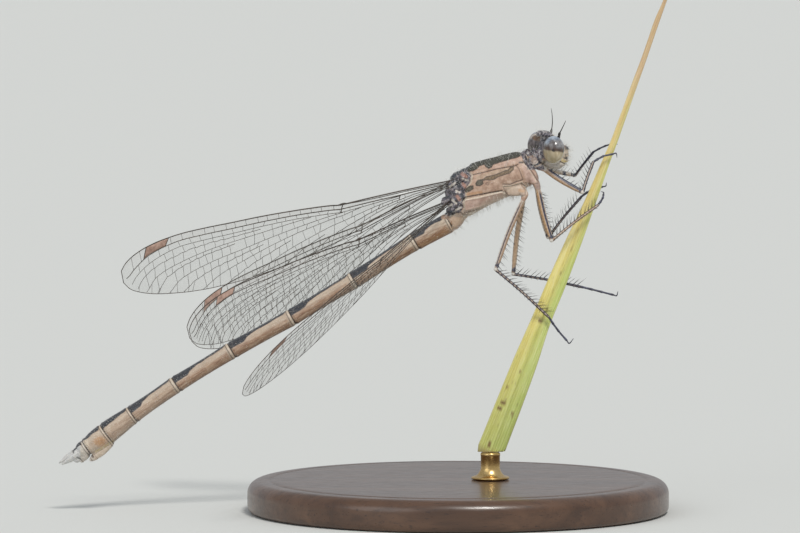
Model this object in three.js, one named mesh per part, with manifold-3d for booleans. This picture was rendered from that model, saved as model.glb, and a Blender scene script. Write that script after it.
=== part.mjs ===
// A winter damselfly (genus Sympecma, female) at life size, gripping a narrow blade of grass, on a plain display stand.
// Millimetres, +Z up, +X towards the head, the insect's right side facing -Y. The origin is the middle of the footprint, on the floor.
import * as THREE from "three";
import { mergeVertices } from "three/addons/utils/BufferGeometryUtils.js";
import Module from "manifold-3d";

const wasm = await Module();
wasm.setup();

// ---------------------------------------------------------------- driving dimensions
const GRID = 16; // side-view layout units per millimetre
const U0 = 363.9; // layout column of the origin
const V0 = 512; // layout row of the floor, on the plane Y = 0
const LOOK_DOWN = THREE.MathUtils.degToRad(4); // the layout is a side view from 4 degrees above the horizon
const GAP = 0.04; // clearance between neighbouring solids
const LEG_R = 0.25; // least radius of a limb, so that it is 0.5 thick
const WING_T = 0.5; // wing plate thickness
const WING_CHORD = 1 / 0.95; // layout chord to true chord
const FORE_WING = 22.0; // wing lengths
const HIND_WING = 20.1;
const BASE_R = 13.2; // stand base radius
const BASE_H = 2.0;
const ROD_R = 0.6;
const BASE_U = 458.2; // layout column of the base's centre
const ROD_U = 490.5; // layout column of the rod
const PERCH_CUT_V = 452; // layout row where the blade of grass is cut off, above the rod

// A point of the side-view layout (u right, v down, in units of 1/16 mm) at depth y, in the part's frame.
const at = (u, v, y = 0) =>
  new THREE.Vector3(
    (u - U0) / GRID,
    y,
    ((V0 - v) / GRID - y * Math.sin(LOOK_DOWN)) / Math.cos(LOOK_DOWN),
  );

// ---------------------------------------------------------------- helpers
const clean = (g) => {
  g.deleteAttribute("normal");
  g.deleteAttribute("uv");
  return mergeVertices(g, 1e-4);
};

// A closed form: a cylinder whose points are put in place by place(t along, angle, radius share).
function form(sides, rings, place) {
  const g = new THREE.CylinderGeometry(1, 1, 1, sides, rings);
  const p = g.attributes.position;
  for (let i = 0; i < p.count; i++) {
    const x = p.getX(i),
      y = p.getY(i),
      z = p.getZ(i);
    const q = place(0.5 - y, Math.atan2(z, x), Math.min(1, Math.hypot(x, z)));
    p.setXYZ(i, q.x, q.y, q.z);
  }
  return clean(g);
}

function solid(g) {
  const m = clean(g.index ? g : g.clone());
  const tri = new Uint32Array(m.index.array);
  const make = () =>
    new wasm.Manifold(
      new wasm.Mesh({
        numProp: 3,
        vertProperties: new Float32Array(m.attributes.position.array),
        triVerts: tri,
      }),
    );
  let s = make();
  if (s.volume() < 0) {
    for (let i = 0; i < tri.length; i += 3) [tri[i], tri[i + 1]] = [tri[i + 1], tri[i]];
    s = make();
  }
  return s;
}

const largest = (s) =>
  s.decompose().reduce((a, b) => (b.volume() > a.volume() ? b : a));

function geometryOf(s) {
  const m = s.getMesh(),
    v = new Float32Array(m.numVert * 3);
  for (let i = 0; i < m.numVert; i++)
    v.set(m.vertProperties.subarray(i * m.numProp, i * m.numProp + 3), i * 3);
  const g = new THREE.BufferGeometry()
    .setAttribute("position", new THREE.BufferAttribute(v, 3))
    .setIndex(new THREE.BufferAttribute(new Uint32Array(m.triVerts), 1));
  g.computeVertexNormals();
  return g;
}

// Straight-line interpolation in a table of [t, value] rows.
function table(rows, t) {
  if (t <= rows[0][0]) return rows[0][1];
  for (let i = 1; i < rows.length; i++)
    if (t <= rows[i][0]) {
      const [a, x] = rows[i - 1],
        [b, y] = rows[i];
      return x + ((y - x) * (t - a)) / (b - a);
    }
  return rows[rows.length - 1][1];
}

// A limb: a tapering round bar along a smooth line, with slightly rounded ends. grow makes the same limb a little fatter, to cut its neighbours.
function limb(points, radii, { sides = 8, rings = 6, flat = 1, grow = 0 } = {}) {
  const curve =
    points.length === 2
      ? new THREE.LineCurve3(points[0], points[1])
      : new THREE.CatmullRomCurve3(points, false, "centripetal");
  const side = new THREE.Vector3(0, 1, 0);
  const length = curve.getLength();
  const rows = radii.map((r, i) => [i / (radii.length - 1), r]);
  const end = Math.min(0.22, 0.16 / length);
  return form(sides, rings, (t, angle, share) => {
    // the first and last rings are the rounded ends
    const inner = t <= 0 ? 0 : t >= 1 ? 1 : end + ((t - 1 / rings) / (1 - 2 / rings)) * (1 - 2 * end);
    const s = Math.min(1, Math.max(0, inner));
    const p = curve.getPointAt(s);
    const along = curve.getTangentAt(s);
    const n = new THREE.Vector3().crossVectors(side, along).normalize();
    const b = new THREE.Vector3().crossVectors(along, n).normalize();
    const r = (table(rows, s) * (t <= 0 || t >= 1 ? 0.62 : 1) + grow) * share;
    if (grow && (t <= 0 || t >= 1)) p.addScaledVector(along, t <= 0 ? -grow : grow);
    return p
      .addScaledVector(n, Math.cos(angle) * r)
      .addScaledVector(b, Math.sin(angle) * r * flat);
  });
}

const group = new THREE.Group();
const solids = new Map();
const finish = {
  dark: { color: 0x4a4238, roughness: 0.42, metalness: 0.25 },
  tan: { color: 0xa9825f, roughness: 0.55, metalness: 0.0 },
  eye: { color: 0x8f8a7c, roughness: 0.12, metalness: 0.0 },
  limb: { color: 0x7c5f45, roughness: 0.5, metalness: 0.0 },
  feeler: { color: 0x1d1a18, roughness: 0.5, metalness: 0.0 },
  pale: { color: 0xb9ad98, roughness: 0.5, metalness: 0.0 },
  wing: { color: 0x8a8f86, roughness: 0.25, metalness: 0.0, transparent: true, opacity: 0.35 },
  grass: { color: 0xbfae4c, roughness: 0.55, metalness: 0.0 },
  wood: { color: 0x3b2417, roughness: 0.35, metalness: 0.0 },
  brass: { color: 0xb08d4a, roughness: 0.3, metalness: 1.0 },
};
function add(name, s, look) {
  solids.set(name, s);
  const mesh = new THREE.Mesh(geometryOf(s), new THREE.MeshStandardMaterial(finish[look]));
  mesh.name = name;
  group.add(mesh);
  return s;
}

// ---------------------------------------------------------------- synthorax: a leaning box of fused plates, keeled along the back
const THORAX_TILT = THREE.MathUtils.degToRad(23);
const THORAX_AT = [460, 200]; // layout point the thorax is measured from
const THORAX_ROWS = [
  // [along, back, belly, half width], in layout units
  [-13, 5, -6, 8],
  [-10.5, 14.5, -12.5, 13],
  [-5, 20.5, -16.5, 15],
  [3, 24.2, -18.4, 16],
  [12, 25.0, -17.4, 16.8],
  [20, 27.2, -16.4, 17.4],
  [26, 28.6, -16.0, 17.6],
  [36, 27.4, -15.6, 17.6],
  [48, 25.4, -15.4, 17.4],
  [60, 23.8, -15.2, 16.8],
  [69, 22.2, -14.4, 15.4],
  [75, 18.4, -13.6, 12.6],
  [78.5, 4.0, -12.6, 8],
];
function thoraxPoint(a, up, y) {
  const c = Math.cos(THORAX_TILT),
    s = Math.sin(THORAX_TILT);
  return at(THORAX_AT[0] + a * c - up * s, THORAX_AT[1] - (a * s + up * c), y);
}
function thorax(grow) {
  const n = THORAX_ROWS.length - 1;
  return form(16, n, (t, angle, share) => {
    const row = THORAX_ROWS[Math.round(t * n)];
    const mid = row[1] * 0.12 + row[2] * 0.12;
    const c = Math.cos(angle),
      s = Math.sin(angle);
    const keel = c > 0 ? Math.pow(c, 6) : 0;
    const up = c > 0 ? (row[1] - mid) * Math.pow(c, 0.92) : (row[2] - mid) * Math.pow(-c, 0.9);
    const out = row[3] * Math.sign(s) * Math.pow(Math.abs(s), 0.78) * (1 - 0.3 * Math.max(0, c) ** 1.5) * (1 - 0.2 * keel);
    const g = grow * GRID;
    const end = t <= 0 ? -g : t >= 1 ? g : 0;
    return thoraxPoint(
      row[0] + end,
      mid + (up + (c > 0 ? g : -g) * Math.abs(c)) * share,
      (share * (out + g * Math.sign(s) * Math.abs(s))) / GRID,
    );
  });
}

// ---------------------------------------------------------------- head, turned a little away and rolled
const HEAD_AT = at(546.2, 146.8, 0);
const HEAD_L = new THREE.Vector3(-0.335, 0.936, 0.11).normalize(); // towards the left eye
const HEAD_F = new THREE.Vector3(0.94, 0.34, -0.03);
HEAD_F.addScaledVector(HEAD_L, -HEAD_F.dot(HEAD_L)).normalize();
const HEAD_U = new THREE.Vector3().crossVectors(HEAD_F, HEAD_L).normalize();
const head = (f, l, u) =>
  HEAD_AT.clone().addScaledVector(HEAD_F, f).addScaledVector(HEAD_L, l).addScaledVector(HEAD_U, u);
const HEAD_BASIS = new THREE.Matrix4().makeBasis(HEAD_F, HEAD_L, HEAD_U);
const EYE_OUT = 1.33; // eye centre from the head's middle
const EYE = [0.62, 0.8, 0.83]; // eye half sizes: fore-and-aft, sideways, upright

function egg([f, l, u], [rf, rl, ru], across, down) {
  const g = new THREE.SphereGeometry(1, across, down);
  g.rotateX(Math.PI / 2);
  g.scale(rf, rl, ru);
  g.applyMatrix4(HEAD_BASIS);
  const c = head(f, l, u);
  g.translate(c.x, c.y, c.z);
  return solid(g);
}
const eye = (side, grow, across = 16, down = 10) =>
  egg([0.02, side * EYE_OUT, 0], EYE.map((r) => r + grow), across, down);

// ---------------------------------------------------------------- prothorax and neck
const neckA = at(536.5, 156.5, 0),
  neckB = at(545.5, 151.5, 0.12);
const proRows = [0.3, 0.52, 0.6, 0.5, 0.56, 0.42, 0.24];
function prothorax(grow) {
  const a = at(523.5, 161.5, 0),
    b = at(541.0, 155.0, 0.03);
  return limb([a, b], proRows, { sides: 12, rings: 7, flat: 1.16, grow });
}

// ---------------------------------------------------------------- abdomen: ten rings along the tail
// Joint centres in the layout, then radii at the start, middle and end of each ring.
const TAIL = [
  [462.5, 213.0], [449.0, 223.6], [415.0, 242.0], [354.0, 280.3], [292.0, 317.0], [231.6, 349.9],
  [176.0, 383.8], [132.0, 414.6], [106.0, 434.8], [85.5, 449.2], [74.0, 456.2],
];
const TAIL_R = [
  [0.62, 0.66, 0.58], [0.57, 0.55, 0.53], [0.53, 0.46, 0.5], [0.51, 0.45, 0.5], [0.51, 0.46, 0.5],
  [0.51, 0.46, 0.51], [0.52, 0.49, 0.55], [0.55, 0.6, 0.7], [0.68, 0.68, 0.62], [0.58, 0.52, 0.4],
];
const ring = (i, grow = 0) => {
  const a = at(...TAIL[i], 0),
    b = at(...TAIL[i + 1], 0);
  const d = b.clone().sub(a).normalize();
  a.addScaledVector(d, GAP / 2);
  b.addScaledVector(d, -GAP / 2);
  const [r0, r1, r2] = TAIL_R[i];
  const side = new THREE.Vector3(0, 1, 0),
    up = new THREE.Vector3().crossVectors(d, side).normalize();
  if (up.z < 0) up.negate();
  const long = i > 1 && i < 7;
  // shares along the ring and the radius there: a short collar at each end
  const rows = long
    ? [[0, r0 * 0.94], [0.03, r0], [0.12, (r0 + r1 * 2) / 3], [0.5, r1], [0.86, (r2 + r1) / 2], [0.97, r2], [1, r2 * 0.94]]
    : [[0, r0 * 0.94], [0.1, r0], [0.5, r1], [0.9, r2], [1, r2 * 0.94]];
  return form(14, rows.length - 1, (t, angle, share) => {
    const [s, r] = rows[Math.round(t * (rows.length - 1))];
    const e = t <= 0 ? -grow : t >= 1 ? grow : 0;
    return a
      .clone()
      .lerp(b, s)
      .addScaledVector(d, e)
      .addScaledVector(up, Math.cos(angle) * (r + grow) * share * 1.02)
      .addScaledVector(side, Math.sin(angle) * (r + grow) * share * 0.98);
  });
};

// ---------------------------------------------------------------- blade of grass, a slim lens in section with a shallow midrib
const BLADE = [
  // layout column, row, width in layout units, half thickness in mm
  [667.2, -6, 5.0, 0.17], [656.6, 22, 6.4, 0.18], [635.4, 82, 7.4, 0.19], [613.6, 142, 8.6, 0.21],
  [590.2, 202, 13.0, 0.23], [565.6, 262, 19.4, 0.25], [540.9, 322, 23.4, 0.26], [517.8, 382, 28.0, 0.27],
  [489.0, 456, 32.0, 0.28], [483.5, 470, 32.6, 0.28],
];
function blade() {
  const n = BLADE.length - 1;
  const down = at(BLADE[n][0], BLADE[n][1]).sub(at(BLADE[0][0], BLADE[0][1])).normalize();
  const wide = new THREE.Vector3().crossVectors(down, new THREE.Vector3(0, 1, 0)).normalize();
  return form(14, n, (t, angle, share) => {
    const [u, v, w, h] = BLADE[Math.round(t * n)];
    const c = Math.cos(angle),
      s = Math.sin(angle);
    return at(u, v)
      .addScaledVector(wide, (c * share * w) / GRID / 2)
      .add(new THREE.Vector3(0, Math.sign(s) * Math.abs(s) ** 0.8 * share * h, 0));
  });
}

// ---------------------------------------------------------------- wings: flat plates with the true outline
// [share of the length, leading edge, trailing edge] from the line between hinge and tip, in layout units
const WING_EDGE = [
  [0.0, 3.0, -3.0], [0.06, 4.4, -3.6], [0.12, 5.6, -4.6], [0.18, 6.6, -8.0], [0.24, 7.4, -14.0], [0.3, 8.0, -20.5],
  [0.337, 8.3, -24.0], [0.37, 10.4, -27.0], [0.43, 13.2, -31.4], [0.5, 15.8, -35.0], [0.58, 18.2, -38.0], [0.66, 19.8, -39.6],
  [0.74, 21.6, -39.0], [0.8, 22.3, -37.2], [0.86, 21.2, -33.8], [0.91, 18.4, -29.8], [0.95, 13.8, -24.6], [0.98, 7.6, -18.2],
];
function wing(base, tip, chordShare, side, length, thick = WING_T) {
  const s = tip.clone().sub(base);
  const sy = Math.sign(tip.y - base.y) * Math.sqrt(Math.max(0, 1 - (s.x * s.x + s.z * s.z) / (length * length)));
  const sp = Math.sqrt(1 - sy * sy);
  const e1 = new THREE.Vector3(s.x, 0, s.z).normalize();
  const span = e1.clone().multiplyScalar(sp).add(new THREE.Vector3(0, sy, 0));
  const lower = new THREE.Vector3(-e1.z, 0, e1.x);
  if (lower.z > 0) lower.negate();
  const cy = side * Math.sqrt((1 - chordShare ** 2) / (1 + (sy / sp) ** 2));
  const chord = lower
    .multiplyScalar(chordShare)
    .addScaledVector(e1, (-sy * cy) / sp)
    .add(new THREE.Vector3(0, cy, 0))
    .normalize();
  const k = (WING_CHORD / GRID);
  const shape = new THREE.Shape();
  const lead = WING_EDGE.map(([x, a]) => new THREE.Vector2(x * length, a * k));
  const trail = WING_EDGE.map(([x, , b]) => new THREE.Vector2(x * length, b * k)).reverse();
  shape.setFromPoints([...lead, new THREE.Vector2(length * 1.0, 1.2 * k), new THREE.Vector2(length * 1.004, -8 * k), ...trail]);
  const g = new THREE.ExtrudeGeometry(shape, { depth: thick, steps: 1, bevelEnabled: false });
  g.translate(0, 0, -thick / 2);
  const up = chord.clone().negate();
  const out = new THREE.Vector3().crossVectors(span, up).normalize();
  g.applyMatrix4(new THREE.Matrix4().makeBasis(span, up, out).setPosition(base));
  return { s: solid(g), span, chord, out };
}
const WINGS = {
  // hinge, tip in the layout, share of the chord seen from the side, which way the trailing edge leans, length
  wing_right_fore: [at(455, 183, -0.62), at(123.5, 272, -5), 0.95, 1, FORE_WING],
  wing_right_hind: [at(449, 203, -0.66), at(246.5, 384, -11.2), 0.42, 1, HIND_WING],
  wing_left_fore: [at(455, 183, 0.7), at(181, 330, 11), 0.86, -1, FORE_WING],
  wing_left_hind: [at(449, 203.5, 0.34), at(184.5, 333, 8.4), 0.86, -1, HIND_WING],
};

// ---------------------------------------------------------------- legs
const LEGS = {
  // coxa start and end, knee, end of tibia, then the foot's points
  right_fore: { coxa: [[533.5, 163, -0.35], [541, 167.5, -0.72]], knee: [581.8, 192.5, -1.3], ankle: [592.6, 162.4, -0.92], foot: [[603.2, 156.2, -0.66], [612.6, 154.2, -0.62], [616.2, 157.6, -0.5]] },
  left_fore: { coxa: [[533.5, 162, 0.35], [541, 166.5, 0.9]], knee: [576, 175, 2.9], ankle: [594, 151.6, 1.7], foot: [[603, 147.4, 0.95], [610, 144.6, 0.6], [617.8, 144.6, 0.5]] },
  right_mid: { coxa: [[531, 177, -0.6], [536.6, 184.5, -0.95]], knee: [551, 240.6, -1.5], ankle: [598.4, 204.8, -0.64], foot: [[601.6, 200.4, -0.55], [604.2, 194.6, -0.36]] },
  left_mid: { coxa: [[531, 176, 0.6], [536, 183.5, 0.95]], knee: [548.6, 237.4, 2.2], ankle: [581.6, 196.6, 0.88], foot: [[589.3, 191.4, 0.66], [599, 187.2, 0.6], [606.6, 184.4, 0.42]] },
  right_hind: { coxa: [[519.5, 187.5, -0.62], [524.8, 195.2, -0.95]], knee: [495.3, 269.5, -1.35], ankle: [548.5, 316.8, -0.64], foot: [[558.7, 331.2, -0.74], [568.4, 342.2, -0.82]] },
  left_hind: { coxa: [[519.5, 186.5, 0.62], [524.4, 194.4, 0.95]], knee: [513.7, 274.1, 1.6], ankle: [584.2, 287.4, 0.78], foot: [[600, 291.6, 0.78], [616.4, 295.4, 0.8]] },
};
const SIZES = {
  fore: { coxa: 0.36, femur: [0.25, 0.28, 0.27, 0.25], tibia: LEG_R, foot: LEG_R },
  mid: { coxa: 0.38, femur: [0.26, 0.28, 0.28, 0.25], tibia: LEG_R, foot: LEG_R },
  hind: { coxa: 0.42, femur: [0.27, 0.29, 0.28, 0.25], tibia: LEG_R, foot: LEG_R },
};

// ---------------------------------------------------------------- putting it together
const thoraxSolid = solid(thorax(0));
const thoraxGrown = solid(thorax(GAP));
const eyes = { right: eye(-1, 0), left: eye(1, 0) };
const eyesGrown = [eye(-1, GAP), eye(1, GAP)];
let skull = egg([-0.06, 0, 0.06], [0.62, 1.26, 0.66], 16, 10)
  .add(egg([0.62, 0, -0.28], [0.84, 0.76, 0.86], 14, 10))
  .add(egg([0.62, 0, -0.93], [0.78, 0.6, 0.4], 12, 6));
for (const e of eyesGrown) skull = skull.subtract(e);
skull = largest(skull);
const neck = solid(limb([neckA, neckB], [0.3, 0.26, 0.28], { sides: 10, rings: 4 }));
const neckGrown = solid(limb([neckA, neckB], [0.3, 0.26, 0.28], { sides: 10, rings: 4, grow: GAP }));

add("head", largest(skull.subtract(neckGrown)), "dark");
add("eye_right", eyes.right, "eye");
add("eye_left", eyes.left, "eye");

const proGrown = solid(prothorax(GAP));
const coxaOf = (name, grow = 0) => {
  const leg = LEGS[name],
    size = SIZES[name.split("_")[1]];
  return solid(
    limb(leg.coxa.map((p) => at(...p)), [size.coxa, size.coxa * 1.04, size.coxa * 0.84], { sides: 10, rings: 4, grow }),
  );
};
let pro = solid(prothorax(0)).subtract(thoraxGrown);
for (const side of ["right_fore", "left_fore"]) pro = pro.subtract(coxaOf(side, GAP));
let belly = thoraxSolid;
for (const n of ["right_mid", "left_mid", "right_hind", "left_hind"]) belly = belly.subtract(coxaOf(n, GAP));
for (let i = 0; i < 1; i++) belly = belly.subtract(solid(ring(i, GAP)));
add("prothorax", largest(pro), "dark");
add("neck", largest(neck.subtract(solid(prothorax(GAP)))), "dark");
add("synthorax", largest(belly), "tan");

// feelers
const FEELERS = {
  antenna_right: [head(0.64, -0.6, 0.52), at(562.4, 129.5, -0.95), at(565.8, 120.6, -1.45)],
  antenna_left: [head(0.64, 0.6, 0.52), at(551.6, 122, 0.75), at(551.2, 108.4, 0.85)],
};
for (const [name, line] of Object.entries(FEELERS)) {
  const s = solid(limb(line, [0.27, 0.25, 0.25], { sides: 8, rings: 6 }));
  let cut = s.subtract(egg([-0.06, 0, 0.06], [0.62 + GAP, 1.26 + GAP, 0.66 + GAP], 16, 10)).subtract(
    egg([0.62, 0, -0.28], [0.84 + GAP, 0.76 + GAP, 0.86 + GAP], 14, 10));
  for (const e of eyesGrown) cut = cut.subtract(e);
  add(name, largest(cut), "feeler");
}

// abdomen
for (let i = 0; i < 10; i++) add("abdomen_" + String(i + 1).padStart(2, "0"), i === 0 ? largest(solid(ring(0))) : solid(ring(i)), i === 9 ? "pale" : "tan");
// cerci: two pale leaves, and the egg-laying blade under the last rings
for (const [name, y] of [["cercus_right", -0.27], ["cercus_left", 0.27]]) {
  const s = solid(limb([at(74.5, 452.6, y), at(67, 458.8, y * 1.15), at(60.2, 464.4, y * 0.95)], [0.25, 0.27, 0.25], { sides: 8, rings: 5 }));
  add(name, largest(s.subtract(solid(ring(9, GAP)))), "pale");
}
let ovi = solid(limb([at(112, 445.5), at(100, 455), at(86, 465.5)], [0.28, 0.44, 0.42, 0.26], { sides: 10, rings: 6, flat: 0.9 }));
for (const i of [7, 8, 9]) ovi = ovi.subtract(solid(ring(i, GAP)));
add("ovipositor", largest(ovi), "pale");

// blade of grass, cut level above the rod
const cutZ = at(0, PERCH_CUT_V).z;
const below = new THREE.BoxGeometry(20, 20, 10);
below.translate(at(ROD_U, 0).x, 0, cutZ - 5);
add("perch_grass_blade", largest(solid(blade()).subtract(solid(below))), "grass");

// legs
for (const [name, leg] of Object.entries(LEGS)) {
  const size = SIZES[name.split("_")[1]];
  const hip = at(...leg.coxa[1]),
    knee = at(...leg.knee),
    ankle = at(...leg.ankle);
  const foot = [ankle, ...leg.foot.map((p) => at(...p))];
  const make = (points, radii, grow, rings) => solid(limb(points, radii, { sides: 8, rings, grow }));
  const coxa = coxaOf(name);
  const femur = make([hip, knee], size.femur, 0, 5);
  const tibia = make([knee, ankle], [size.tibia, size.tibia, size.tibia], 0, 4);
  const tarsus = make(foot, [size.foot, size.foot, size.foot], 0, 6);
  const coxaFat = coxaOf(name, GAP);
  const femurFat = make([hip, knee], size.femur, GAP, 5);
  const tibiaFat = make([knee, ankle], [size.tibia, size.tibia, size.tibia], GAP, 4);
  add("coxa_" + name, coxa, "limb");
  add("femur_" + name, largest(femur.subtract(coxaFat).subtract(thoraxGrown).subtract(proGrown)), "limb");
  add("tibia_" + name, largest(tibia.subtract(femurFat)), "limb");
  add("tarsus_" + name, largest(tarsus.subtract(tibiaFat)), "limb");
}

// wings, trimmed where they meet the thorax and the first rings of the abdomen
for (const [name, [base, tip, share, side, length]] of Object.entries(WINGS)) {
  let { s } = wing(base, tip, share, side, length);
  s = s.subtract(thoraxGrown);
  for (const i of [0, 1]) s = s.subtract(solid(ring(i, GAP)));
  add(name, largest(s), "wing");
}

// ---------------------------------------------------------------- display stand
const baseX = at(BASE_U, 0).x;
const lathe = (profile, around, x, z) => {
  const g = new THREE.LatheGeometry(profile.map(([r, h]) => new THREE.Vector2(r, h)), around);
  g.rotateX(Math.PI / 2);
  g.translate(x, 0, z);
  return solid(g);
};
add(
  "stand_base",
  lathe([[0, 0], [BASE_R - 0.25, 0], [BASE_R, 0.25], [BASE_R, BASE_H - 0.7], [BASE_R - 0.2, BASE_H - 0.28], [BASE_R - 0.7, BASE_H], [0, BASE_H]], 40, baseX, 0),
  "wood",
);
const rodTop = cutZ - 0.03 - (BASE_H + 0.03);
add(
  "stand_rod",
  lathe([[0, 0], [ROD_R * 2, 0], [ROD_R * 2, 0.16], [ROD_R * 1.45, 0.3], [ROD_R, 0.6], [ROD_R, rodTop - 0.1], [ROD_R - 0.1, rodTop], [0, rodTop]], 20, at(ROD_U, 0).x, BASE_H + 0.03),
  "brass",
);

export default group;
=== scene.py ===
# A winter damselfly at life size on a cut blade of grass, held by a low round stand.
# All lengths below are in millimetres in the part's frame until they are written to a mesh, in metres.
import math
import random

import bmesh
import bpy
import numpy as np
from mathutils import Matrix, Vector


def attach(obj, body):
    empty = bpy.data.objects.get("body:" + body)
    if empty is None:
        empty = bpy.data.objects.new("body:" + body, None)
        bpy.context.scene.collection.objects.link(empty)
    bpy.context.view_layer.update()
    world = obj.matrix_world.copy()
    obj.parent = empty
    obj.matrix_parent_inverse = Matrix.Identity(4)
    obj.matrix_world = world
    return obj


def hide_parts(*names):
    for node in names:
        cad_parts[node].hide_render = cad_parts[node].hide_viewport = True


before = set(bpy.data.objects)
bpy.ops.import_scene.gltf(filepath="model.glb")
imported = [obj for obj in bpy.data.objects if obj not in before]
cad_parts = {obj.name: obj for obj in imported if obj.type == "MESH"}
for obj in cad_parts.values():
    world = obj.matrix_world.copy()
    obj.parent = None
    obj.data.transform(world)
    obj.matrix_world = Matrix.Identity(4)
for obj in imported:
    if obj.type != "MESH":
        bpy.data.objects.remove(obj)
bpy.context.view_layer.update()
MM = 0.001
rng = np.random.default_rng(7)

# ------------------------------------------------------------------ layout: the same side view as the solids
GRID, U0, V0 = 16.0, 363.9, 512.0
E = math.radians(4.0)
CE, SE = math.cos(E), math.sin(E)
CAM_D = 450.0
TARGET = np.array([(400 - U0) / GRID, 0.0, (V0 - 266.5) / GRID / CE])
LOOK = np.array([0.0, CE, -SE])


def at(u, v, y=0.0):
    """A layout point at depth y."""
    return np.array([(u - U0) / GRID, y, ((V0 - v) / GRID - y * SE) / CE])


def seen(u, v, y=0.0):
    """The point at depth y that the camera sees at layout place u, v."""
    p = at(u, v, y)
    for _ in range(3):
        k = (CAM_D + (p - TARGET) @ LOOK) / CAM_D
        p = at(400 + (u - 400) * k, 266.5 + (v - 266.5) * k, y)
    return p


def side_uv(p):
    """Layout place of points on the near flank; the far flank mirrors it."""
    return U0 + GRID * p[:, 0], V0 - GRID * (p[:, 2] * CE - np.abs(p[:, 1]) * SE)


# ------------------------------------------------------------------ small mathematics
def unit(a):
    a = np.asarray(a, float)
    n = np.linalg.norm(a, axis=-1, keepdims=True)
    return a / np.where(n == 0, 1, n)


def curve_fn(rows):
    """A smooth curve through rows of [t, value...] with no overshoot."""
    r = np.array(rows, float)
    x, y = r[:, 0], r[:, 1:]
    h = np.diff(x)[:, None]
    d = np.diff(y, axis=0) / h
    m = np.zeros_like(y)
    m[0], m[-1] = d[0], d[-1]
    for i in range(1, len(x) - 1):
        a, b = d[i - 1], d[i]
        ok = a * b > 0
        w1, w2 = 2 * h[i] + h[i - 1], h[i] + 2 * h[i - 1]
        with np.errstate(divide="ignore", invalid="ignore"):
            m[i] = np.where(ok, (w1 + w2) / (w1 / np.where(ok, a, 1) + w2 / np.where(ok, b, 1)), 0)

    def f(t):
        t = np.clip(np.asarray(t, float), x[0], x[-1])
        i = np.clip(np.searchsorted(x, t, side="right") - 1, 0, len(x) - 2)
        hh = (x[i + 1] - x[i])[..., None]
        s = ((t - x[i])[..., None]) / hh
        out = (
            (2 * s**3 - 3 * s**2 + 1) * y[i]
            + (s**3 - 2 * s**2 + s) * hh * m[i]
            + (-2 * s**3 + 3 * s**2) * y[i + 1]
            + (s**3 - s**2) * hh * m[i + 1]
        )
        return out[..., 0] if out.shape[-1] == 1 else out

    return f


def path_fn(points):
    """A smooth path through points, by share of its length."""
    p = np.array(points, float)
    seg = np.linalg.norm(np.diff(p, axis=0), axis=1)
    t = np.concatenate([[0], np.cumsum(seg)]) / seg.sum()
    m = np.zeros_like(p)
    for i in range(len(p)):
        a, b = max(0, i - 1), min(len(p) - 1, i + 1)
        m[i] = (p[b] - p[a]) / (t[b] - t[a])

    def f(s):
        s = np.clip(np.asarray(s, float), 0, 1)
        i = np.clip(np.searchsorted(t, s, side="right") - 1, 0, len(t) - 2)
        h = (t[i + 1] - t[i])[..., None]
        q = (s - t[i])[..., None] / h
        return (
            (2 * q**3 - 3 * q**2 + 1) * p[i]
            + (q**3 - 2 * q**2 + q) * h * m[i]
            + (-2 * q**3 + 3 * q**2) * p[i + 1]
            + (q**3 - q**2) * h * m[i + 1]
        )

    return f


def step(a, b, x):
    t = np.clip((x - a) / (b - a), 0, 1)
    return t * t * (3 - 2 * t)


def to_line(u, v, pts):
    """Distance to a broken line, in layout units."""
    best = np.full(u.shape, 1e9)
    for (x0, y0), (x1, y1) in zip(pts[:-1], pts[1:]):
        dx, dy = x1 - x0, y1 - y0
        t = np.clip(((u - x0) * dx + (v - y0) * dy) / (dx * dx + dy * dy), 0, 1)
        best = np.minimum(best, np.hypot(u - x0 - t * dx, v - y0 - t * dy))
    return best


def to_patch(u, v, pts):
    """Signed distance to a patch: negative inside."""
    d = to_line(u, v, pts + [pts[0]])
    inside = np.zeros(u.shape, bool)
    for (x0, y0), (x1, y1) in zip(pts, pts[1:] + [pts[0]]):
        if y0 == y1:
            continue
        c = ((v < y0) != (v < y1)) & (u < (x1 - x0) * (v - y0) / (y1 - y0) + x0)
        inside ^= c
    return np.where(inside, -d, d)


def wave(p, scale, seed=0.0):
    """Cheap smooth noise between -1 and 1."""
    q = np.asarray(p, float) / scale
    s = np.zeros(len(q))
    amp, tot = 1.0, 0.0
    for k in range(4):
        f = 1.9**k
        a = seed * 3.1 + k * 2.3
        s += amp * np.sin(f * (q[:, 0] * 1.7 + q[:, 1] * 0.9) + a + 1.3 * np.sin(f * q[:, 2] * 1.3 + a)) * np.cos(
            f * (q[:, 2] * 1.5 - q[:, 0] * 0.7) + 2 * a + np.sin(f * q[:, 1] * 1.1)
        )
        tot += amp
        amp *= 0.6
    return s / tot


# ------------------------------------------------------------------ mesh helpers
ALL = []


def new_object(name, verts, faces, smooth=True, mats=()):
    me = bpy.data.meshes.new(name)
    me.from_pydata((np.asarray(verts) * MM).tolist(), [], [list(map(int, f)) for f in faces])
    me.update()
    o = bpy.data.objects.new(name, me)
    bpy.context.scene.collection.objects.link(o)
    if smooth:
        me.polygons.foreach_set("use_smooth", [True] * len(me.polygons))
    for m in mats:
        me.materials.append(m)
    return o


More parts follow.
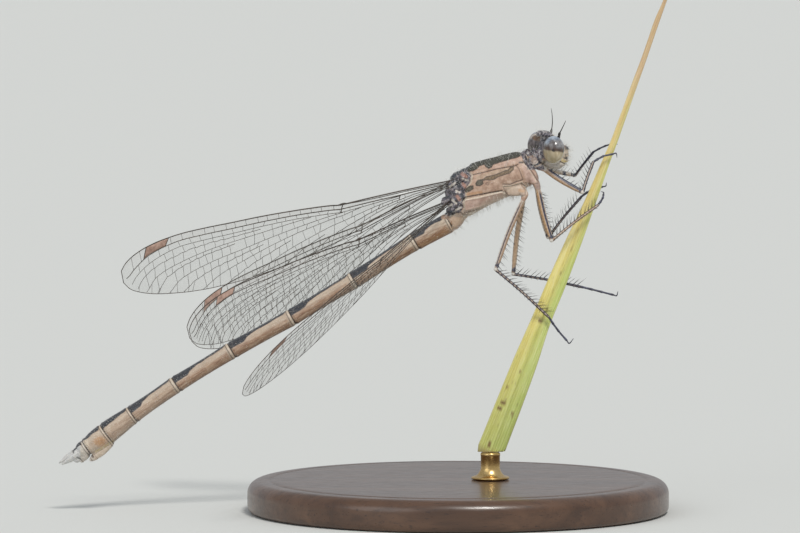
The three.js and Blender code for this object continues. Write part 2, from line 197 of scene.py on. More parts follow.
class Build:
    """Gathers closed forms into one mesh."""

    def __init__(self):
        self.v, self.f, self.n = [], [], 0
        self.tags = []

    def add(self, v, f, **tag):
        v = np.asarray(v, float)
        self.v.append(v)
        self.f += [tuple(i + self.n for i in face) for face in f]
        self.tags.append((self.n, self.n + len(v), tag))
        self.n += len(v)

    def rings(self, rings, caps=True, **tag):
        """rings: array (n, m, 3) of closed loops; ends are closed with a fan."""
        r = np.asarray(rings, float)
        n, m, _ = r.shape
        v = r.reshape(-1, 3)
        f = []
        for i in range(n - 1):
            a, b = i * m, (i + 1) * m
            for j in range(m):
                k = (j + 1) % m
                f.append((a + j, a + k, b + k, b + j))
        if caps:
            v = np.vstack([v, r[0].mean(0), r[-1].mean(0)])
            c0, c1 = n * m, n * m + 1
            for j in range(m):
                k = (j + 1) % m
                f.append((c0, k, j))
                f.append((c1, (n - 1) * m + j, (n - 1) * m + k))
        self.add(v, f, **tag)
        return r

    def egg(self, centre, basis, radii, across=40, down=24, power=1.0, **tag):
        th = np.linspace(0, math.pi, down + 1)[1:-1]
        ph = np.linspace(0, 2 * math.pi, across, endpoint=False)
        T, P = np.meshgrid(th, ph, indexing="ij")
        sp = lambda a: np.sign(a) * np.abs(a) ** power
        loc = np.stack([sp(np.sin(T) * np.cos(P)), sp(np.sin(T) * np.sin(P)), sp(np.cos(T))], -1)
        w = np.asarray(centre) + (loc * np.asarray(radii)) @ np.asarray(basis)
        top = np.asarray(centre) + np.asarray(basis)[2] * radii[2]
        bot = np.asarray(centre) - np.asarray(basis)[2] * radii[2]
        n, m = w.shape[:2]
        v = np.vstack([w.reshape(-1, 3), top, bot])
        f = []
        for i in range(n - 1):
            for j in range(m):
                k = (j + 1) % m
                f.append((i * m + j, (i + 1) * m + j, (i + 1) * m + k, i * m + k))
        for j in range(m):
            k = (j + 1) % m
            f.append((n * m, j, k))
            f.append((n * m + 1, (n - 1) * m + k, (n - 1) * m + j))
        self.add(v, f, **tag)

    def tube(self, path, radius, n=40, m=20, side=(0, 1, 0), flat=1.0, ends=True, **tag):
        """A round bar along path(s); radius(s) in mm; rounded ends."""
        s = np.linspace(0, 1, n)
        c = path(s)
        t = unit(np.gradient(c, axis=0))
        nrm = unit(np.cross(np.broadcast_to(side, c.shape), t))
        bi = unit(np.cross(t, nrm))
        r = np.asarray(radius(s), float) * np.ones(n)
        ang = np.linspace(0, 2 * math.pi, m, endpoint=False)
        rings = c[:, None] + r[:, None, None] * (
            np.cos(ang)[None, :, None] * nrm[:, None] + flat * np.sin(ang)[None, :, None] * bi[:, None]
        )
        if ends:
            extra0, extra1 = [], []
            for q in (0.94, 0.78, 0.5, 0.2):
                k = math.sqrt(1 - q * q)
                extra0.append(c[0] - t[0] * r[0] * k * 0.8 + (rings[0] - c[0]) * q)
                extra1.append(c[-1] + t[-1] * r[-1] * k * 0.8 + (rings[-1] - c[-1]) * q)
            rings = np.concatenate([np.array(extra0[::-1]), rings, np.array(extra1)])
        self.rings(rings, **tag)
        return c, t, nrm, bi, r

    def object(self, name, mats=()):
        return new_object(name, np.vstack(self.v), self.f, mats=mats)


def verts_of(o):
    a = np.empty(len(o.data.vertices) * 3)
    o.data.vertices.foreach_get("co", a)
    return a.reshape(-1, 3) / MM


def set_verts(o, v):
    o.data.vertices.foreach_set("co", (v * MM).ravel())
    o.data.update()


def normals_of(o):
    a = np.empty(len(o.data.vertices) * 3)
    o.data.vertices.foreach_get("normal", a)
    return a.reshape(-1, 3)


def paint(o, name, *channels):
    """A vertex attribute of up to three shares, for the material to read."""
    n = len(o.data.vertices)
    c = np.zeros((n, 4))
    c[:, 3] = 1
    for i, ch in enumerate(channels):
        c[:, i] = np.clip(ch, 0, 1)
    a = o.data.attributes.new(name, "FLOAT_COLOR", "POINT")
    a.data.foreach_set("color", c.ravel())


def apply_modifiers(o):
    dg = bpy.context.evaluated_depsgraph_get()
    me = bpy.data.meshes.new_from_object(o.evaluated_get(dg))
    old = o.data
    o.modifiers.clear()
    o.data = me
    me.name = o.name
    bpy.data.meshes.remove(old)
    me.polygons.foreach_set("use_smooth", [True] * len(me.polygons))


# ------------------------------------------------------------------ materials
class Mat:
    def __init__(self, name, **uniform):
        self.m = bpy.data.materials.new(name)
        self.m.use_nodes = True
        self.nt = self.m.node_tree
        self.b = self.nt.nodes["Principled BSDF"]
        for k, v in uniform.items():
            self.b.inputs[k.replace("_", " ")].default_value = v
        self.co = None

    def node(self, kind, **settings):
        n = self.nt.nodes.new(kind)
        for k, v in settings.items():
            if k.startswith("in_"):
                key = k[3:].replace("_", " ")
                n.inputs[int(key) if key.isdigit() else key].default_value = v
            else:
                setattr(n, k, v)
        return n

    def link(self, a, b):
        self.nt.links.new(a, b)

    def coords(self):
        if self.co is None:
            self.co = self.node("ShaderNodeTexCoord").outputs["Object"]
        return self.co

    def mapped(self, scale=(1, 1, 1), rot=(0, 0, 0), loc=(0, 0, 0)):
        n = self.node("ShaderNodeMapping")
        n.inputs["Scale"].default_value = scale
        n.inputs["Rotation"].default_value = rot
        n.inputs["Location"].default_value = loc
        self.link(self.coords(), n.inputs["Vector"])
        return n.outputs["Vector"]

    def node_vec(self, x, y, sx=0.0045, sy=0.004):
        """A texture vector from two shares, for lines that follow the leaf."""
        n = self.node("ShaderNodeCombineXYZ")
        self.link(self.math("MULTIPLY", x, sx), n.inputs[0])
        self.link(self.math("MULTIPLY", y, sy), n.inputs[1])
        return n.outputs[0]

    def noise(self, size_mm, detail=3.0, rough=0.55, vec=None, distort=0.0):
        n = self.node("ShaderNodeTexNoise")
        n.inputs["Scale"].default_value = 1.0 / (size_mm * MM)
        n.inputs["Detail"].default_value = detail
        n.inputs["Roughness"].default_value = rough
        n.inputs["Distortion"].default_value = distort
        self.link(vec if vec is not None else self.coords(), n.inputs["Vector"])
        return n.outputs["Fac"]

    def ramp(self, fac, stops, interp="LINEAR"):
        n = self.node("ShaderNodeValToRGB")
        r = n.color_ramp
        r.interpolation = interp
        while len(r.elements) < len(stops):
            r.elements.new(0.5)
        for e, (p, c) in zip(r.elements, stops):
            e.position = p
            e.color = (*c, 1) if len(c) == 3 else c
        self.link(fac, n.inputs["Fac"])
        return n.outputs["Color"]

    def span(self, fac, a, b, lo=0.0, hi=1.0):
        n = self.node("ShaderNodeMapRange")
        n.inputs["From Min"].default_value = a
        n.inputs["From Max"].default_value = b
        n.inputs["To Min"].default_value = lo
        n.inputs["To Max"].default_value = hi
        self.link(fac, n.inputs["Value"])
        return n.outputs["Result"]

    def math(self, op, a, b=None):
        n = self.node("ShaderNodeMath", operation=op)
        for i, x in enumerate((a, b)):
            if x is None:
                continue
            if isinstance(x, (int, float)):
                n.inputs[i].default_value = x
            else:
                self.link(x, n.inputs[i])
        return n.outputs[0]

    def mix(self, fac, a, b, blend="MIX"):
        n = self.node("ShaderNodeMix", data_type="RGBA", blend_type=blend)
        for sock, x in ((n.inputs[0], fac), (n.inputs[6], a), (n.inputs[7], b)):
            if isinstance(x, (int, float)):
                sock.default_value = x
            elif isinstance(x, tuple):
                sock.default_value = (*x, 1) if len(x) == 3 else x
            else:
                self.link(x, sock)
        return n.outputs[2]

    def attr(self, name):
        a = self.node("ShaderNodeAttribute", attribute_name=name)
        s = self.node("ShaderNodeSeparateColor")
        self.link(a.outputs["Color"], s.inputs[0])
        return s.outputs[0], s.outputs[1], s.outputs[2]

    def bump(self, height, dist_mm, strength=1.0, after=None):
        n = self.node("ShaderNodeBump")
        n.inputs["Strength"].default_value = strength
        n.inputs["Distance"].default_value = dist_mm * MM
        self.link(height, n.inputs["Height"])
        if after is not None:
            self.link(after, n.inputs["Normal"])
        return n.outputs["Normal"]

    def out(self, color=None, rough=None, normal=None):
        if color is not None:
            self.link(color, self.b.inputs["Base Color"])
        if rough is not None:
            self.link(rough, self.b.inputs["Roughness"])
        if normal is not None:
            self.link(normal, self.b.inputs["Normal"])
        return self.m


# ------------------------------------------------------------------ head frame
HEAD_AT = at(546.2, 147.7, 0)
HL = unit([-0.335, 0.936, 0.055])
HF = np.array([0.94, 0.34, -0.03])
HF = unit(HF - HL * (HF @ HL))
HU = np.cross(HF, HL)
HB = np.array([HF, HL, HU])


def head(f, l, u):
    return HEAD_AT + np.array([f, l, u]) @ HB


EYE_OUT = 1.33
EYE_R = (0.66, 0.80, 0.865)

# ------------------------------------------------------------------ thorax form
TILT = math.radians(23)
T0 = (460.0, 200.0)
THORAX = curve_fn([
    # along, back, belly, half width, in layout units
    [-13, 3, -5, 7], [-10.5, 13.5, -12.5, 12.5], [-5, 20.0, -16.5, 15], [3, 23.9, -18.4, 16], [12, 24.9, -17.6, 16.8],
    [20, 27.0, -16.6, 17.4], [26, 28.3, -16.2, 17.6], [36, 27.3, -15.8, 17.6], [48, 25.4, -15.6, 17.4], [60, 23.8, -15.2, 16.8],
    [69, 22.0, -14.4, 15.2], [75, 18.0, -13.4, 12.6], [78.5, 4.0, -11.0, 8],
])


def thorax_uv(a, up):
    c, s = math.cos(TILT), math.sin(TILT)
    return T0[0] + a * c - up * s, T0[1] - (a * s + up * c)


def thorax_local(u, v):
    c, s = math.cos(TILT), math.sin(TILT)
    du, dv = u - T0[0], T0[1] - v
    return du * c + dv * s, -du * s + dv * c


def thorax_rings(n=110, m=72):
    ang = np.linspace(0, 2 * math.pi, m, endpoint=False)
    c, s = np.cos(ang), np.sin(ang)
    out = []
    for a in -13 + (78.5 + 13) * (0.5 - 0.5 * np.cos(np.linspace(0, math.pi, n))):
        _ = a
        back, belly, half = THORAX(np.array([a]))[0]
        mid = 0.12 * (back + belly)
        keel = np.where(c > 0, np.abs(c) ** 10, 0)
        up = np.where(c > 0, (back - mid) * np.abs(c) ** 0.95, (belly - mid) * np.abs(c) ** 0.9)
        wide = half * np.sign(s) * np.abs(s) ** 0.8 * (1 - 0.3 * np.clip(c, 0, 1) ** 1.5) * (1 - 0.25 * keel)
        u, v = thorax_uv(a, mid + up)
        out.append(np.stack([(u - U0) / GRID, wide / GRID, ((V0 - v) / GRID - 0 * wide) / CE], -1))
    return np.array(out)


# ------------------------------------------------------------------ abdomen
TAIL = [
    (463.5, 212.4), (449.6, 222.8), (415.0, 241.6), (354.0, 280.4), (292.0, 317.5), (231.6, 350.7),
    (176.0, 384.7), (132.2, 415.0), (105.6, 433.6), (86.0, 448.0), (76.5, 454.4),
]
TAIL_R = [
    (0.42, 0.56, 0.61), (0.62, 0.60, 0.59), (0.57, 0.51, 0.54), (0.54, 0.495, 0.535), (0.54, 0.505, 0.54),
    (0.54, 0.495, 0.54), (0.54, 0.515, 0.58), (0.59, 0.64, 0.67), (0.66, 0.64, 0.55), (0.52, 0.50, 0.36),
]
TAIL_P = np.array([at(*p) for p in TAIL])


def tail_frame(i):
    a, b = TAIL_P[i], TAIL_P[i + 1]
    d = unit(b - a)
    up = unit(np.cross(d, [0, 1, 0]))
    if up[2] < 0:
        up = -up
    return a, b, d, up, np.linalg.norm(b - a)


def tail_local(p):
    """Ring number, share along it, height share (1 top, -1 underside) and radius for points near the tail."""
    best = np.full(len(p), 1e9)
    idx = np.zeros(len(p), int)
    s_out, h_out, l_out = (np.zeros(len(p)) for _ in range(3))
    for i in range(10):
        a, b, d, up, ln = tail_frame(i)
        w = p - a
        s = w @ d / ln
        cl = np.clip(s, 0, 1)
        dist = np.linalg.norm(w - cl[:, None] * (d * ln), axis=1)
        take = dist < best - 1e-9
        r = np.hypot(w @ up, w[:, 1])
        h = (w @ up) / np.maximum(r, 1e-6)
        best[take] = dist[take]
        idx[take], s_out[take], h_out[take], l_out[take] = i, cl[take], h[take], ln
    return idx, s_out, h_out, best, l_out


def tail_rings(m=48):
    ang = np.linspace(0, 2 * math.pi, m, endpoint=False)
    rings = []
    for i in range(10):
        a, b, d, up, ln = tail_frame(i)
        r0, r1, r2 = TAIL_R[i]
        rows = curve_fn([[0, r0], [0.12, (r0 + r1) / 2 if 1 < i < 7 else r0], [0.5, r1], [0.88, (r1 + r2) / 2 if 1 < i < 7 else r2], [1, r2]])
        n = max(10, int(ln / 0.035))
        last = i == 9
        for s in np.linspace(0, 1, n, endpoint=last):
            x = s * ln
            r = float(rows(np.array([s]))[0] if np.ndim(rows(np.array([s]))) else rows(s))
            # a soft fold at each joint and a thin collar behind it
            if i > 0:
                r -= 0.045 * math.exp(-((x / 0.07) ** 2))
                r += 0.012 * math.exp(-(((x - 0.17) / 0.07) ** 2))
            if i < 9:
                r -= 0.045 * math.exp(-(((ln - x) / 0.07) ** 2))
                r += 0.018 * math.exp(-(((ln - x - 0.15) / 0.07) ** 2))
            c = a + d * x
            belly = 0.0
            if i in (7, 8):
                belly = 0.07 * (s if i == 7 else 1 - s)
            hh = np.cos(ang)
            prof = r * (1 + 0.02 * hh)
            ring = c + (hh * prof)[:, None] * up + (np.sin(ang) * r * 0.98)[:, None] * np.array([0, 1, 0])
            ring = ring - (np.clip(-hh, 0, 1) ** 2 * belly)[:, None] * up
            # a faint keel along the back
            ring = ring + (0.014 * np.clip(hh, 0, 1) ** 60)[:, None] * up
            rings.append(ring)
    rings = np.array(rings)
    end = TAIL_P[-1]
    d = unit(TAIL_P[-1] - TAIL_P[-2])
    cap = [end + d * k + (rings[-1] - end) * q for q, k in ((0.9, 0.05), (0.6, 0.11), (0.25, 0.13))]
    return np.concatenate([rings, np.array(cap)])


# ------------------------------------------------------------------ legs: coxa start and end, knee, end of tibia, foot points
LEGS = {
    "right_fore": dict(coxa=[(533.5, 163, -0.35), (541, 167.5, -0.72)], knee=(581.8, 192.5, -1.3), ankle=(592.6, 162.4, -0.92), foot=[(597.5, 159.2, -0.72), (603.2, 156.2, -0.56), (612.6, 154.2, -0.44)], claw=(616.6, 157.8, -0.3)),
    "left_fore": dict(coxa=[(533.5, 162, 0.35), (541, 166.5, 0.9)], knee=(576, 175, 2.9), ankle=(594, 151.6, 1.7), foot=[(600, 148.2, 1.1), (606, 145.6, 0.6), (611, 144.2, 0.42)], claw=(617.4, 144.4, 0.34)),
    "right_mid": dict(coxa=[(531, 177, -0.6), (536.6, 184.5, -0.95)], knee=(551, 240.6, -1.5), ankle=(597.6, 205.2, -0.52), foot=[(600.6, 201.4, -0.40), (602.8, 197.4, -0.33), (603.2, 194.6, -0.24)], claw=(600.9, 191.6, -0.16)),
    "left_mid": dict(coxa=[(531, 176, 0.6), (536, 183.5, 0.95)], knee=(548.6, 237.4, 2.2), ankle=(581.6, 196.6, 0.8), foot=[(587.3, 192.2, 0.56), (595, 188.8, 0.42), (602.5, 186.8, 0.36)], claw=(606.2, 182.6, 0.2)),
    "right_hind": dict(coxa=[(519.5, 187.5, -0.62), (524.8, 195.2, -0.95)], knee=(495.3, 269.5, -1.35), ankle=(548.5, 316.8, -0.5), foot=[(553.4, 324.2, -0.44), (558.9, 331.6, -0.44), (566.6, 340.4, -0.5)], claw=(573.4, 338.6, -0.42)),
    "left_hind": dict(coxa=[(519.5, 186.5, 0.62), (524.4, 194.4, 0.95)], knee=(513.7, 274.1, 1.6), ankle=(583.6, 287.4, 0.62), foot=[(593, 289.6, 0.56), (603, 292.2, 0.55), (613.6, 294.9, 0.6)], claw=(618.3, 291.4, 0.5)),
}
FEMUR_R = {"fore": (0.16, 0.185, 0.165, 0.13), "mid": (0.16, 0.188, 0.165, 0.13), "hind": (0.145, 0.168, 0.148, 0.12)}
COXA_R = {"fore": 0.30, "mid": 0.27, "hind": 0.29}

# ------------------------------------------------------------------ one skin: head capsule, neck, prothorax, thorax, hips and tail
def build_skin():
    b = Build()
    b.rings(thorax_rings())
    b.rings(tail_rings())
    I = np.eye(3)
    yb = np.array([[1, 0, 0], [0, 1, 0], [0, 0, 1.0]])
    # thorax axis basis for humps
    ta = unit(np.array([math.cos(TILT), 0, math.sin(TILT)]))
    tu = np.array([-ta[2], 0, ta[0]])
    tb = np.array([ta, [0, 1, 0], tu])
    # wing-base plates: low humps on both flanks behind the shoulder
    for sgn in (-1, 1):
        for u, v, y, r in (
            (452.0, 183.0, 0.62, (0.42, 0.22, 0.22)), (447.0, 200.5, 0.60, (0.40, 0.22, 0.24)), (460.5, 178.0, 0.70, (0.34, 0.22, 0.2)),
            (456.0, 192.0, 0.78, (0.3, 0.2, 0.22)), (463.5, 186.5, 0.86, (0.26, 0.16, 0.2)), (450.5, 210.0, 0.66, (0.3, 0.22, 0.2)),
            (459.0, 203.0, 0.86, (0.26, 0.16, 0.22)), (466.0, 196.0, 0.95, (0.2, 0.12, 0.18)), (470.5, 177.5, 0.72, (0.3, 0.2, 0.16)),
        ):
            b.egg(at(u, v, 0) + [0, sgn * y, 0], tb, r, 20, 12)
        b.egg(at(458.0, 177.6, 0) + [0, sgn * 0.28, 0], tb, (0.52, 0.34, 0.36), 24, 14)
        b.egg(at(464.4, 174.6, 0) + [0, sgn * 0.26, 0], tb, (0.42, 0.36, 0.36), 24, 14)
        # hip plates and trochanters
    for name, leg in LEGS.items():
        kind = name.split("_")[1]
        r = COXA_R[kind]
        c0, c1 = (at(*q) for q in leg["coxa"])
        knee = at(*leg["knee"])
        b.tube(path_fn([c0, (c0 + c1) / 2, c1]), lambda s, r=r: r * (1.0 + 0.08 * np.sin(s * 3.1) - 0.25 * s), 12, 22)
        d = unit(knee - c1)
        b.tube(path_fn([c1 - d * 0.05, c1 + d * 0.16, c1 + d * 0.34]), lambda s: np.interp(s, [0, 0.5, 1], [0.195, 0.19, 0.15]), 8, 20)
    # side plates over the middle and hind hips
    for sgn in (-1, 1):
        for (ua, va), (ub, vb), y, hgt, th in (
            ((524.5, 165.0), (536.2, 182.0), 0.62, 0.36, 0.32), ((505.0, 191.6), (523.6, 189.4), 0.74, 0.34, 0.28), ((530.0, 176.0), (537.0, 182.6), 0.66, 0.27, 0.3),
        ):
            A, C = at(ua, va), at(ub, vb)
            dd = unit(C - A)
            pu = unit(np.cross(dd, [0, 1, 0]))
            b.egg((A + C) / 2 + [0, sgn * y, 0], np.array([dd, [0, 1, 0], pu]), (np.linalg.norm(C - A) / 2, th, hgt), 36, 20, 0.8)
    # prothorax: a front collar, a middle lobe and a hind lobe on a short barrel
    p0, p1 = at(522.0, 162.0, 0), at(541.5, 155.0, 0.03)
    b.tube(path_fn([p0, (p0 + p1) / 2, p1]), lambda s: np.interp(s, [0, 0.2, 0.45, 0.62, 0.82, 1], [0.5, 0.56, 0.54, 0.44, 0.46, 0.3]), 40, 40, flat=1.14)
    d = unit(p1 - p0)
    up = unit(np.cross(d, [0, 1, 0]))
    up = up if up[2] > 0 else -up
    pb = np.array([d, [0, 1, 0], up])
    b.egg(p0 + d * 0.16 + up * 0.24, pb, (0.15, 0.60, 0.34), 28, 16)
    b.egg(p0 + d * 0.54 + up * 0.30, pb, (0.24, 0.52, 0.38), 28, 16)
    b.egg(p0 + d * 0.95 + up * 0.26, pb, (0.14, 0.46, 0.36), 28, 16)
    b.egg(p0 + d * 0.30 + up * 0.52, pb, (0.10, 0.40, 0.12), 24, 12)
    for sgn in (-1, 1):
        b.egg(at(533.4, 160.2) + [0, sgn * 0.50, 0], pb, (0.27, 0.18, 0.27), 28, 16)
        b.egg(at(526.6, 157.6) + [0, sgn * 0.50, 0], pb, (0.14, 0.18, 0.34), 24, 14)
        b.egg(at(540.6, 158.6) + [0, sgn * 0.34, 0], pb, (0.16, 0.16, 0.28), 24, 14)
        b.egg(at(535.0, 166.2) + [0, sgn * 0.36, 0], pb, (0.34, 0.2, 0.16), 24, 14)
    # neck
    b.tube(path_fn([p1 - d * 0.2, p1, head(-0.3, 0, -0.2)]), lambda s: 0.26 + 0 * s, 12, 24)
    # head capsule
    for c, r, pw in (
        ((0.06, 0, 0.24), (0.46, 1.12, 0.66), 1.0),  # vertex
        ((-0.16, 0.05, 0.84), (0.44, 0.92, 0.22), 1.0),
        ((-0.10, 0, -0.30), (0.34, 1.00, 0.56), 1.0),  # back of the head
        ((0.60, 0, -0.06), (0.87, 0.58, 0.29), 0.9),  # frons
        ((0.66, 0, -0.30), (0.80, 0.60, 0.26), 0.9),  # upper face plate
        ((0.86, 0, -0.46), (0.62, 0.54, 0.22), 0.9),  # lower face plate
        ((0.62, 0, -0.74), (0.66, 0.56, 0.34), 0.9),
        ((1.06, 0, -0.76), (0.42, 0.42, 0.22), 0.9),  # upper lip
        ((0.52, 0, -1.10), (0.62, 0.50, 0.27), 0.95),  # lower lip
        ((0.16, 0, -0.98), (0.42, 0.46, 0.3), 1.0),
        ((0.38, 0.58, -0.46), (0.46, 0.22, 0.50), 0.95), ((0.38, -0.58, -0.46), (0.46, 0.22, 0.50), 0.95),  # cheeks
        ((0.28, 0.72, 0.05), (0.40, 0.26, 0.42), 1.0), ((0.28, -0.72, 0.05), (0.40, 0.26, 0.42), 1.0),
        ((0.86, 0.40, -1.0), (0.30, 0.13, 0.15), 1.0), ((0.86, -0.40, -1.0), (0.30, 0.13, 0.15), 1.0),  # palps
    ):
        b.egg(head(*c), HB, r, 40, 26, pw)
    # simple eyes and the sockets of the feelers
    for f, l, u, r in ((0.08, 0.30, 0.86, 0.1), (0.08, -0.30, 0.86, 0.1), (0.40, 0, 0.74, 0.1), (0.56, 0.60, 0.42, 0.16), (0.56, -0.60, 0.42, 0.16)):
        b.egg(head(f, l, u), HB, (r, r, r * 0.8), 18, 12)
    # tail end: the two valves under the last rings and small plates round the vent
    def leaf(pts, w, t, y):
        pth = path_fn([at(*p[:2], y) for p in pts])
        s = np.linspace(0, 1, 26)
        c = pth(s)
        tt = unit(np.gradient(c, axis=0))
        nn = unit(np.cross(tt, [0, 1, 0]))
        wid = np.interp(s, [0, 0.15, 0.5, 0.85, 1], [0.25, 0.75, 1, 0.8, 0.3]) * w
        ang = np.linspace(0, 2 * math.pi, 20, endpoint=False)
        rr = c[:, None] + (np.cos(ang) * 1.0)[None, :, None] * wid[:, None, None] * nn[:, None] + (np.sin(ang))[None, :, None] * t * np.array([0, 1, 0])
        b.rings(rr)
    for y in (-0.15, 0.15):
        leaf([(112.5, 442.4), (104.2, 449.4), (96.4, 455.4), (89.6, 460.8)], 0.27, 0.16, y)
    leaf([(113, 441), (108, 446), (101, 451)], 0.22, 0.28, 0)
    # the last ring reaches down behind the valves
    b.egg(at(84.4, 455.0), unit([[-0.55, 0, -0.83], [0, 1, 0], [-0.83, 0, 0.55]]), (0.46, 0.36, 0.30), 28, 16)
    # two pointed cerci and the small plates under them
    for y, pts in ((-0.17, [(80.5, 452.6), (72.5, 457.6), (61.6, 464.6)]), (0.17, [(79.5, 451.2), (70.5, 455.6), (58.6, 463.4)])):
        b.tube(path_fn([at(*q, y * k) for q, k in zip(pts, (1, 1.1, 0.9))]), lambda s: np.interp(s, [0, 0.25, 0.6, 1], [0.235, 0.25, 0.19, 0.05]), 30, 20)
    for y in (-0.16, 0.16):
        b.egg(at(76.4, 460.0, y), I, (0.22, 0.14, 0.19), 18, 12)
        b.egg(at(81.6, 461.4, y * 0.8), I, (0.13, 0.10, 0.10), 14, 10)
    o = b.object("body_skin")
    m = o.modifiers.new("fuse", "REMESH")
    m.mode = "VOXEL"
    m.voxel_size = 0.034 * MM
    m.use_smooth_shade = True
    apply_modifiers(o)
    m = o.modifiers.new("soft", "SMOOTH")
    m.factor, m.iterations = 0.5, 3
    apply_modifiers(o)
    return o


DORSAL = [  # the dark band along the back of the thorax, with a bulge on its lower edge
    (526.4, 147.0), (524.8, 152.0), (521.6, 155.7), (517.7, 157.7), (507.1, 160.6), (498.2, 163.3), (492.8, 165.0), (491.9, 167.6), (488.4, 169.0), (485.8, 167.4), (483.8, 165.0),
    (479.3, 166.4), (477.1, 169.2), (472.7, 171.5), (467.1, 172.4), (467.7, 167.8), (471.4, 164.2), (474, 158), (480, 150), (500, 142), (520, 140),
]
BAND2 = [
    (513.4, 166.8), (512.9, 170.0), (509.3, 173.4), (503.8, 175.2), (498.2, 176.9), (493.8, 179.6), (490.4, 180.4), (484.9, 180.3), (482.3, 181.0), (482.9, 184.0), (479.9, 185.9), (476, 185.8),
    (475.2, 183.9), (477.5, 180.5), (482.7, 179.6), (486, 177.0), (492.7, 175.8), (498.2, 173.6), (504.9, 170.8), (508.2, 170.2), (510.2, 167.4),
]
SPOT2 = [(472.9, 186.0), (472.9, 189.0), (469.3, 191.3), (466, 192.5), (464.9, 191.1), (467.1, 188.1), (469.9, 186.4)]
LOBE = [(463.6, 199.6), (480.4, 196.4), (493.8, 193.1), (501.6, 191.5), (505.6, 193.3), (505.6, 197.2), (500.6, 200.8), (490.4, 204.6), (480.4, 208.0), (471.6, 210.2), (463.2, 212.4)]
MESO_PLATE = [(521.6, 164.0), (524.7, 161.8), (530.6, 170.4), (536.6, 178.9), (538.0, 182.6), (531.6, 183.6), (526, 181.9), (523.9, 176.7), (521.4, 168.0)]
ROOT = [  # the wing roots and all behind the pale hind border line
    (474.4, 163.2), (467.6, 169.6), (470.8, 175.6), (469.6, 182.0), (464.6, 190.6), (464.8, 198.4), (462.2, 202), (463.2, 208), (459.9, 212.8),
    (455.0, 214.6), (449.0, 216.0), (441.0, 213.0), (434.0, 205.0), (434.0, 160.0), (462.0, 150.0),
]
META_PLATE = [(502.7, 187.2), (511, 186.6), (520.4, 184.2), (525.4, 190), (524.6, 196.0), (516, 197.0), (507.6, 196.2)]


def zones(p):
    """Where each point lies: its layout place, its place along and across the thorax, its place in the head's frame,
    and whether it is on the head or on the tail.
    """
    u, v = side_uv(p)
    rel = (p - HEAD_AT) @ HB.T
    in_head = (np.abs(rel[:, 1]) < 2.2) & (rel[:, 0] > -0.62) & (u > 528) & (np.hypot(rel[:, 0] - 0.3, rel[:, 2] + 0.2) < 1.35) & ((rel[:, 0] > -0.42) | (rel[:, 2] > -0.25))
    a, up = thorax_local(u, v)
    in_tail = (u < 449) & (v > 206)
    in_tail |= (u < 452) & (v > 221 + (452 - u) * -0.3)
    in_tail &= ~((u > 441) & (v < 219))
    return u, v, a, up, rel, in_head, in_tail


